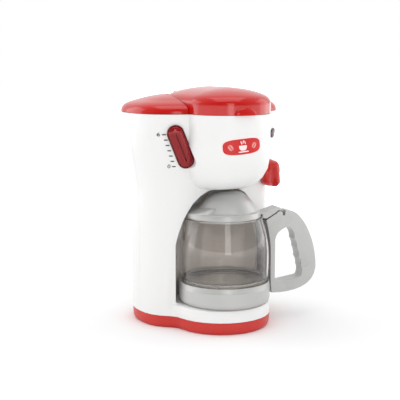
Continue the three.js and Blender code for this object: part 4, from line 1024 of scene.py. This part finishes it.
@dataclass
class Lids:
    """The two red lids over the head and the tank, and the hinge between them."""

    housing: Housing
    foot: float = 185.4
    wall: float = 2.0
    dome_rise: float = 21.8
    dome_rear: float = 66.7
    dome_rear_share: float = 0.526
    cover_rise: float = 16.1
    rim_half_width: float = 70.4
    rim_half_depth: float = 49.0
    cover_share: float = 0.769
    play: float = 0.4
    hinge: Row = (65.0, 199.654)
    knuckle: float = 2.1
    knuckle_half: float = 8.5
    ear_end: float = 13.5
    web_reach: float = 8.0
    web_top: float = 0.8
    groove_top: float = 6.0
    shaft_ends: Row = (-5.0, 40.0)
    dome_middle: float = 0.985
    tab_cut: float = 0.02
    web_drop: float = 1.47
    tab: Point = (9.6, 2.6, 6.4)
    tab_turn: float = -8.0
    dome_rows: tuple[Row, ...] = ((0, 0), (0, 0.2), (0, 0.42), (0.01, 0.485), (0.03, 0.545), (0.07, 0.625),
                                  (0.136, 0.7), (0.245, 0.775), (0.41, 0.86), (0.65, 0.94), (0.93, 0.995))
    cover_rows: tuple[Row, ...] = ((0, 0), (0.006, 0.14), (0.022, 0.26), (0.046, 0.355), (0.088, 0.45),
                                   (0.163, 0.55), (0.286, 0.66), (0.45, 0.8), (0.69, 0.93), (0.93, 0.995))

    def dome_ring(self, z: float, grow: float) -> Ring:
        """Return a ring of the dome's outline, moved outwards by a distance."""
        reach = self.housing.head_radius + grow
        return oval(z, self.housing.head_y, reach, reach, self.dome_rear + grow, 1.0, self.dome_rear_share)

    def cover_ring(self, z: float, inset: float) -> Ring:
        """Return a ring of the tank cover's outline, moved inwards by a distance."""
        reach = self.rim_half_depth - inset
        return oval(z, self.housing.centre_y, self.rim_half_width - inset, reach, reach, self.cover_share,
                    self.cover_share)

    def dome_rings(self, loft: Loft, inset: float, backwards: bool) -> None:
        """Add the dome's rings to a loft, upwards or downwards."""
        rows = smooth_rows(self.dome_rows, 3)
        span = self.housing.head_radius - inset
        for tuck, rise in (reversed(rows) if backwards else rows):
            z = lerp(self.foot, self.foot + self.dome_rise - inset, rise)
            loft.ring(self.dome_ring(z, -inset - tuck * span))

    def block(self, inset: float, drop: float) -> Mesh:
        """Return the tank cover's full shape as a closed block."""
        loft = Loft(FINE)
        if drop:
            loft.ring(self.cover_ring(self.foot - drop, inset))
        span = self.rim_half_depth - inset
        for tuck, rise in smooth_rows(self.cover_rows, 3):
            z = lerp(self.foot, self.foot + self.cover_rise - inset, rise)
            loft.ring(self.cover_ring(z, inset + tuck * span))
        return loft.sealed()

    def shaft(self, grow: float) -> Mesh:
        """Return an upright block with the dome's outline."""
        low, high = (self.dome_ring(self.foot + rise, grow) for rise in self.shaft_ends)
        return Loft(FINE).ring(low).ring(high).sealed()

    def dome(self) -> None:
        """Build the dome lid with its hinge web and knuckle."""
        loft = Loft(FINE)
        loft.ring(self.dome_ring(self.foot + self.dome_rise, -self.housing.head_radius * self.dome_middle))
        self.dome_rings(loft, 0.0, True)
        self.dome_rings(loft, self.wall, False)
        y, z = self.hinge
        web = brick((-self.knuckle_half, y - self.knuckle - self.web_reach, z - self.web_drop),
                    (self.knuckle_half, y, z + self.web_top))
        bar = rod(self.knuckle, (-self.knuckle_half, y, z), (self.knuckle_half, y, z))
        object_of("dome_lid_shell", joined(loft.sealed(), web, bar), RED, Body.TOP_LID, "dome_lid")

    def finger_tab(self) -> None:
        """Build the small half-round swelling that a finger lifts the dome by."""
        mesh = bmesh.new()
        bmesh.ops.create_uvsphere(mesh, u_segments=56, v_segments=28, radius=1.0)
        sliced(mesh, (0, 0, self.tab_cut), (0, 0, -1), clear=True)
        bmesh.ops.holes_fill(mesh, edges=[edge for edge in mesh.edges if edge.is_boundary])
        turn = Matrix.Rotation(radians(self.tab_turn), 4, "Z")
        place = (Matrix.Translation(Vector((0, self.housing.head_y, self.foot)) * MM) @ turn
                 @ Matrix.Translation(Vector((0, -self.housing.head_radius, 0)) * MM)
                 @ Matrix.Diagonal((*(size * MM for size in self.tab), 1.0)))
        object_of("dome_lid_tab", closed(moved(mesh, place)), RED, Body.TOP_LID)

    def cover(self) -> None:
        """Build the tank cover, cut to the dome's outline, with the hinge's ears."""
        y, z = self.hinge
        room = carved(self.block(self.wall, 1.0), self.shaft(self.play + self.wall))
        half = self.knuckle_half + self.play
        groove = brick((-half, y - self.knuckle - self.web_reach, z - self.web_drop - self.play),
                       (half, y + self.knuckle + self.play, z + self.groove_top), 0.1)
        cover = carved(self.block(0.0, 0.0), room, self.shaft(self.play), groove)
        ears = []
        for side in (-1, 1):
            start, end = side * half, side * self.ear_end
            left, right = sorted((start, end))
            ears.append(rod(self.knuckle, (start, y, z), (end, y, z)))
            ears.append(brick((left, y, z - 2 * self.knuckle), (right, y + self.knuckle, z), 0.2))
        object_of("tank_cover_shell", joined(cover, *ears), RED, Body.MACHINE, "tank_cover")

    def build(self) -> None:
        """Build both lids."""
        self.dome()
        self.finger_tab()
        self.cover()


def ellipse_reach(turn: float, centre: float, half_x: float, half_y: float) -> float:
    """Return how far an upright oval reaches from the axis in a direction.

    Args:
        turn: the direction in radians.
        centre: the oval's X.
        half_x: half its length along X.
        half_y: half its width along Y.
    Returns:
        The far crossing in millimetres, or 0 where the ray misses it.
    """
    c, s = cos(turn), sin(turn)
    a = (c / half_x) ** 2 + (s / half_y) ** 2
    b = -2 * c * centre / half_x ** 2
    root = b * b - 4 * a * ((centre / half_x) ** 2 - 1)
    return (-b + sqrt(root)) / (2 * a) if root > 0 else 0.0


def soft_max(a: float, b: float, blend: float) -> float:
    """Return the larger of two values, with a soft blend where they are close."""
    near = max(blend - abs(a - b), 0.0) / blend if blend > 0 else 0.0
    return max(a, b) + near * near * blend / 4


@dataclass
class JugShape:
    """The sizes that the jug's pieces share, in the jug's own frame with its handle along X."""

    turn: float = -10.0
    foot: float = 39.0
    height: float = 57.0
    seat_radius: float = 38.2
    belly_radius: float = 38.9
    rim_radius: float = 32.6
    belly_share: float = 0.36
    bend: float = 2.2
    fit: float = 0.3

    def radius(self, z: float) -> float:
        """Return the glass's radius at a height."""
        share = min(1.0, max(0.0, (z - self.foot) / self.height))
        if share < self.belly_share:
            return lerp(self.seat_radius, self.belly_radius, sin(share / self.belly_share * pi / 2))
        past = (share - self.belly_share) / (1 - self.belly_share)
        return lerp(self.belly_radius, self.rim_radius, past ** self.bend)

    @property
    def rim(self) -> float:
        """Return the height of the glass's rim."""
        return self.foot + self.height

    def placed(self, mesh: Mesh) -> Mesh:
        """Turn a mesh from the jug's own frame to the machine's."""
        return spun(mesh, self.turn)


@dataclass
class JugGlass:
    """The clear jug: a round belly that narrows to the rim and opens into a pouring lip."""

    shape: JugShape
    wall: float = 1.8
    spout_drop: float = 20.0
    spout_centre: float = -21.6
    spout_length: float = 14.0
    spout_half_width: float = 20.5
    spout_tip: float = 1.5
    blend: float = 2.4
    edge: float = 0.45
    foot_edge: float = 1.2
    foot_corner: Row = (2.2, 0.9)
    foot_radii: Row = (0.1, 20.0)
    floor_radii: Row = (18.0, 0.1)
    floor_rises: tuple[float, ...] = (2.0, 0.9, 0.25, 0.0)
    wall_ends: Row = (0.6, 2.5)
    wall_steps: int = 60
    rim_steps: int = 8
    spout_start: float = 4.0
    blend_start: float = 3.0

    def ring(self, z: float, inset: float) -> Ring:
        """Return a ring of the glass at a height, set in by a part of the wall."""
        low = self.shape.rim - self.spout_drop
        share = (z - low) / self.spout_drop

        def place(turn: float) -> Point:
            """Return the ring's point at a turn."""
            reach = self.shape.radius(z) - inset
            if share > 0:
                centre = lerp(self.spout_tip - self.shape.radius(low), self.spout_centre, share)
                held = min(1.0, share * self.spout_start)
                half_x, half_y = (max(lerp(self.spout_tip, size, share) - inset * held, 0.2)
                                  for size in (self.spout_length, self.spout_half_width))
                spout = ellipse_reach(turn, centre, half_x, half_y) - (1 - held) * inset
                reach = soft_max(reach, spout, self.blend * ease(share * self.blend_start))
            return polar(reach, turn, z)
        return place

    def build(self) -> None:
        """Build the jug's glass."""
        base = self.shape.foot + self.shape.fit
        rim = self.shape.rim
        floor = base + self.wall
        loft = Loft(FINEST)
        for radius in (*self.foot_radii, self.shape.seat_radius - self.foot_edge):
            loft.ring(round_ring(radius, base))
        start, end = self.wall_ends
        levels = [lerp(base + start, rim - self.edge, i / self.wall_steps)
                  for i in range(self.wall_steps + 1)]
        for z in levels:
            loft.ring(self.ring(z, 0.0))
        for k in range(1, self.rim_steps):
            turn = pi * k / self.rim_steps
            lift = self.edge * sin(turn)
            loft.ring(self.ring(rim - self.edge + lift, self.wall / 2 * (1 - cos(turn))))
        for z in reversed(levels):
            if z > floor + end:
                loft.ring(self.ring(z, self.wall))
        inner = self.shape.seat_radius - self.wall
        reach, share = self.foot_corner
        for rise in self.floor_rises:
            loft.ring(round_ring(inner - (reach - rise) * share, floor + rise))
        for radius in self.floor_radii:
            loft.ring(round_ring(radius, floor))
        object_of("jug_glass_shell", self.shape.placed(loft.sealed(50)), CLEAR, Body.JUG, "jug_glass")


@dataclass
class JugBase:
    """The grey cup that the glass sits in."""

    shape: JugShape
    low: float = 21.8
    radius: float = 39.8
    tuck: float = 5.0
    top_radius: float = 39.3
    crease: float = 0.4
    shoulder: float = 3.0
    lip: float = 1.4
    wall: float = 2.0
    tongue_half: float = 1.5
    tongue_reach: Row = (34.0, 56.0)
    tongue_drop: Row = (9.0, 5.6)

    def build(self) -> None:
        """Build the cup with the tongue for the handle."""
        seat = self.shape.seat_radius + self.shape.fit
        foot, top, outer = self.shape.foot, self.shape.foot + self.lip, self.top_radius
        step = foot - self.shoulder
        corner = [(self.radius - self.tuck * (1 - sin(turn)), self.low + self.tuck * (1 - cos(turn)))
                  for turn in (radians(90 - 7.5 * i) for i in range(13))]
        inside = [(radius - self.wall, z) for radius, z in reversed(corner)]
        rows = [(0.0, foot), (seat, foot), (seat, top - 0.3), (seat + 0.1, top - 0.08), (seat + 0.3, top),
                (outer - 0.3, top), (outer - 0.08, top - 0.1), (outer, top - 0.35),
                (outer, step + 0.5), (outer + 0.12, step + 0.1), (outer + self.crease, step - 0.2),
                *corner, *inside, (self.radius - self.wall, foot - self.wall), (0.0, foot - self.wall)]
        (near, far), (low, high) = self.tongue_reach, self.tongue_drop
        tongue = brick((near, -self.tongue_half, foot - low), (far, self.tongue_half, foot - high))
        cup = self.shape.placed(joined(turned(rows, FINE, 30), tongue))
        object_of("jug_base_shell", cup, GREY, Body.JUG, "jug_base")


@dataclass
class JugLid:
    """The jug's lid: a leaning cap with a brim, and a beak over the pouring lip."""

    shape: JugShape
    rise: float = 21.8
    wall: float = 1.8
    skirt: float = 1.8
    play: float = 0.4
    beak_root: float = -20.0
    beak_length: float = 13.6
    beak_half_width: float = 18.5
    beak_root_rise: float = 9.3
    beak_tip_rise: float = 3.9
    beak_corner: float = 0.3
    skirt_root: float = 0.5
    blend: float = 2.0
    rows: tuple[Point, ...] = (
        (0.96, 0, 0), (0.956, 0.07, 0), (0.939, 0.195, 0), (0.9, 0.228, 0.012), (0.84, 0.255, 0.055),
        (0.76, 0.4, 0.074), (0.675, 0.56, 0.08), (0.586, 0.697, 0.089), (0.43, 0.858, 0.11),
        (0.35, 0.92, 0.12), (0.22, 0.975, 0.128), (0.05, 1, 0.13))

    def ring(self, radius: float, rise: float, lean: float, inset: float) -> Ring:
        """Return a ring round the cap and the beak.

        Args:
            radius: the cap's radius as a share of the rim's.
            rise: the ring's height as a share of the lid's.
            lean: the cap's offset towards the handle as a share of the rim's radius.
            inset: how far it lies inside the outer face.
        Returns:
            A function from a turn to a point.
        """
        rim = self.shape.rim_radius
        up = (self.rise - inset) * rise
        centre, reach = lean * rim, max(radius * rim - inset, 0.3)
        span = self.beak_root_rise - self.beak_tip_rise
        past = (self.beak_root_rise - inset - up) / span
        length = self.beak_length - inset
        limit = self.beak_root - length * min(1.0, past)
        corner = 1 - sqrt(max(0.0, 1 - min(1.0, max(0.0, past)) ** 4)) if 0 < past < 1 else 0.0

        def place(turn: float) -> Point:
            """Return the ring's point at a turn."""
            cap = centre * cos(turn) + sqrt(max(reach ** 2 - (centre * sin(turn)) ** 2, 0.01))
            if past > 0 and cos(turn) < 0:
                beak = ellipse_reach(turn, self.beak_root, length, self.beak_half_width - inset)
                beak = min(beak, limit / cos(turn)) - self.beak_corner * corner
                cap = soft_max(cap, beak, self.blend * min(1.0, past))
            z = self.shape.rim + self.shape.fit + up
            return polar(cap, turn, z)
        return place

    def build(self) -> None:
        """Build the lid and its skirt."""
        rows = smooth_rows(self.rows, 8)
        loft = Loft(FINEST)
        for row in reversed(rows):
            loft.ring(self.ring(*row, 0.0))
        for row in rows:
            loft.ring(self.ring(*row, self.wall))
        outside = self.shape.rim_radius - self.wall - self.play
        low, high = self.shape.rim - self.skirt, self.shape.rim + self.shape.fit + self.skirt_root
        inside = outside - self.wall
        tube = turned(tube_end([(inside, low), (outside, low), (outside, high), (inside, high)]), FINE)
        both = joined(loft.sealed(48), tube)
        object_of("jug_lid_shell", self.shape.placed(both), GREY, Body.POT_LID, "jug_lid")


@dataclass
class Handle:
    """The jug's handle: two halves with rounded outer edges, a bracket and the thumb lever."""

    shape: JugShape
    half: float = 6.3
    rounding: float = 1.6
    plain: float = 8.0
    plug_radius: float = 3.0
    plug_depth: float = 1.05
    plug_rise: float = 0.05
    flat_turn: float = 1.0
    crisp: Row = (60.0, 120.0)
    shortest: float = 1.2
    screws: tuple[Row, ...] = ((74.5, 49.6), (59.99, 30.59), (58.0, 90.49))

    def rounded(self, node: str, side: int) -> Mesh:
        """Return a half with the long edges of its outer cheek rounded."""
        mesh = spun(Skin(node, GREY).merged(), -self.shape.turn)
        bmesh.ops.dissolve_limit(mesh, angle_limit=radians(self.flat_turn), verts=mesh.verts,
                                 edges=mesh.edges)
        low, high = (radians(turn) for turn in self.crisp)
        cheek = side * self.half * MM
        top = (self.shape.rim - self.plain) * MM
        edges = [edge for edge in mesh.edges
                 if all(abs(vert.co.y - cheek) < 0.02 * MM for vert in edge.verts) and edge.is_manifold
                 and low < edge.calc_face_angle(0.0) < high
                 and edge.calc_length() > self.shortest * MM and max(vert.co.z for vert in edge.verts) < top]
        LOG.info("%s: %d edges to round", node, len(edges))
        bevelled(mesh, edges, self.rounding, 4)
        soften(mesh, 38)
        return self.shape.placed(mesh)

    def build(self) -> None:
        """Build both halves and dress the bracket and the lever."""
        for node, side in (("handle_half_front", -1), ("handle_half_rear", 1)):
            object_of(f"{node}_shell", self.rounded(node, side), GREY, Body.JUG, node)
        for i, (x, z) in enumerate(self.screws):
            deep, high = (x, -self.half + self.plug_depth, z), (x, -self.half + self.plug_rise, z)
            plug = rod(self.plug_radius, deep, high)
            object_of(f"handle_plug_{i + 1}", self.shape.placed(plug), GREY, Body.JUG)
        Skin("handle_bracket", SMOKE, Body.JUG).build()
        Skin("thumb_lever", GREY, Body.POT_LID, 40).build()


@dataclass
class Works:
    """The finishes of everything inside, which stays as solids."""

    groups: tuple[Dress, ...] = (
        Dress(BLACK, ("battery_box", "rotary_switch", "speaker", "battery_lead", "speaker_lead",
                      "switch_lead", "lamp_lead")),
        Dress(BATTERY, ("battery_1", "battery_2")),
        Dress(BOARD, ("circuit_board",)),
        Dress(SMOKE, ("speaker_cone", "filter_basket")),
        Dress(WHITE, ("top_deck", "gauge_back")),
        Dress(GREY, ("switch_shaft",)),
        Dress(RUBY, ("gauge_tube", "indicator_led")),
        Dress(STEEL, ("battery_contact_left", "battery_contact_right", "battery_door_screw",
                      *(f"{part}_screw_{i + 1}" for part, count in
                        (("base", 4), ("cover", 4), ("board", 2), ("handle", 3)) for i in range(count)),
                      "dome_lid_pin", "jug_lid_pin")),
    )

    def build(self) -> None:
        """Dress every group."""
        for dress in self.groups:
            dress.build()
            LOG.info("dressed %s", ", ".join(dress.nodes))


@dataclass
class Softbox:
    """A soft lamp's place round the object as seen from the camera, its size in metres and its radiance."""

    name: str
    turn: float
    height: float
    away: float
    width: float
    length: float
    radiance: float


@dataclass
class Studio:
    """The floor, the lamps, the world and the camera."""

    eye: Point = (-431.1, -688.2, 235.6)
    look: Point = (0.5026, 0.8509, -0.1528)
    focal: float = 951.0
    frame_px: float = 400.0
    sensor: float = 36.0
    floor_half: float = 6.0
    near_glow: float = 0.0
    glow_from: float = 0.3
    glow_to: float = 1.1
    ambient: float = 0.79
    front_gloss: float = 0.12
    gloss_range: Row = (-0.9, 0.3)
    boxes: tuple[Softbox, ...] = (
        Softbox("front_lamp", 8.0, 0.3, 1.3, 0.35, 0.9, 2.2),
        Softbox("left_lamp", -105.0, 0.35, 1.3, 1.0, 1.5, 1.2),
        Softbox("right_lamp", 112.0, 0.35, 1.3, 0.9, 1.5, 1.0),
        Softbox("top_lamp", 0.0, 1.5, 0.15, 1.2, 1.2, 1.4),
    )

    def camera(self) -> None:
        """Put the camera where the photograph was taken from."""
        data = bpy.data.cameras.new("camera")
        data.sensor_width = self.sensor
        data.lens = self.focal / self.frame_px * self.sensor
        data.clip_end = 20.0
        camera = stand("camera", data)
        camera.location = Vector(self.eye) * MM
        camera.rotation_euler = Vector(self.look).to_track_quat("-Z", "Y").to_euler()
        bpy.context.scene.camera = camera

    def floor(self) -> None:
        """Lay the pale floor, which keeps the shadow near the machine and turns white further off."""
        mesh = bmesh.new()
        bmesh.ops.create_grid(mesh, x_segments=1, y_segments=1, size=self.floor_half)
        floor = stand("floor", data_of("floor", mesh))
        graph = Graph(bpy.data.materials.new("floor_paper"))
        paper = graph.blend(graph.noise(8, 2), linear("f8f8f8"), linear("f4f4f4"))
        diffuse = graph.add("BsdfDiffuse", {"Color": paper}).outputs[0]
        distance = graph.add("VectorMath", {0: graph.coords}, operation="LENGTH").outputs["Value"]
        fade = graph.spread(distance, self.near_glow, 1.0, self.glow_from, self.glow_to,
                            interpolation_type="SMOOTHSTEP")
        rays = graph.light_path("Is Camera Ray", "Is Glossy Ray", "Is Transmission Ray")
        seen = graph.add("Math", {0: rays, 1: fade}, operation="MULTIPLY").outputs[0]
        glow = graph.add("Emission", {"Strength": seen}).outputs[0]
        graph.show(graph.add("AddShader", {0: diffuse, 1: glow}).outputs[0])
        floor.data.materials.append(bpy.data.materials["floor_paper"])

    def world(self) -> None:
        """Show white where nothing stands, light plainly, and keep what reflects in the front darker."""
        world = bpy.data.worlds.new("studio")
        bpy.context.scene.world = world
        graph = Graph(world, "OutputWorld", "Generated")
        behind = graph.add("VectorMath", {0: graph.coords, 1: self.look}, operation="DOT_PRODUCT")
        gloss = graph.spread(behind.outputs["Value"], self.front_gloss, 1.0, *self.gloss_range)
        level = graph.add("Mix", {0: graph.light_path("Is Glossy Ray"), MIX_A: self.ambient,
                                            MIX_B: gloss}).outputs[0]
        final = graph.add("Mix", {0: graph.light_path("Is Camera Ray", "Is Transmission Ray"),
                                            MIX_A: level, MIX_B: 1.0}).outputs[0]
        graph.show(graph.add("Background", {"Color": (1.0, 1.0, 1.0, 1.0), "Strength": final}).outputs[0])

    def lamp(self, box: Softbox, target: Point = (0.0, 0.01, 0.11)) -> None:
        """Hang a softbox that faces the machine."""
        to_eye = -Vector((self.look[0], self.look[1], 0.0)).normalized()
        place = Matrix.Rotation(radians(box.turn), 3, "Z") @ to_eye * box.away
        place.z = box.height
        data = bpy.data.lights.new(box.name, "AREA")
        data.shape = "RECTANGLE"
        data.size = box.width
        data.size_y = box.length
        data.energy = box.radiance * pi * box.width * box.length
        lamp = stand(box.name, data)
        lamp.location = place
        lamp.rotation_euler = (Vector(target) - place).to_track_quat("-Z", "Y").to_euler()

    def build(self) -> None:
        """Set up the whole studio."""
        bpy.context.scene.view_settings.view_transform = "Standard"
        self.camera()
        self.floor()
        self.world()
        for box in self.boxes:
            self.lamp(box)


def main() -> None:
    """Dress the machine and build the studio."""
    logging.basicConfig(level=logging.INFO, format="%(message)s")
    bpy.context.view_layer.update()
    Studio().build()
    Works().build()
    housing = Housing()
    shape = JugShape()
    for piece in (housing, Gauge(housing), Lamp(housing), Knob(housing), Lids(housing), LevelMarks(housing),
                  SwitchMarks(housing), Emblem(housing), JugBase(shape), JugGlass(shape), JugLid(shape),
                  Handle(shape)):
        LOG.info("building the %s", type(piece).__name__)
        piece.build()


if __name__ == "__main__":
    main()
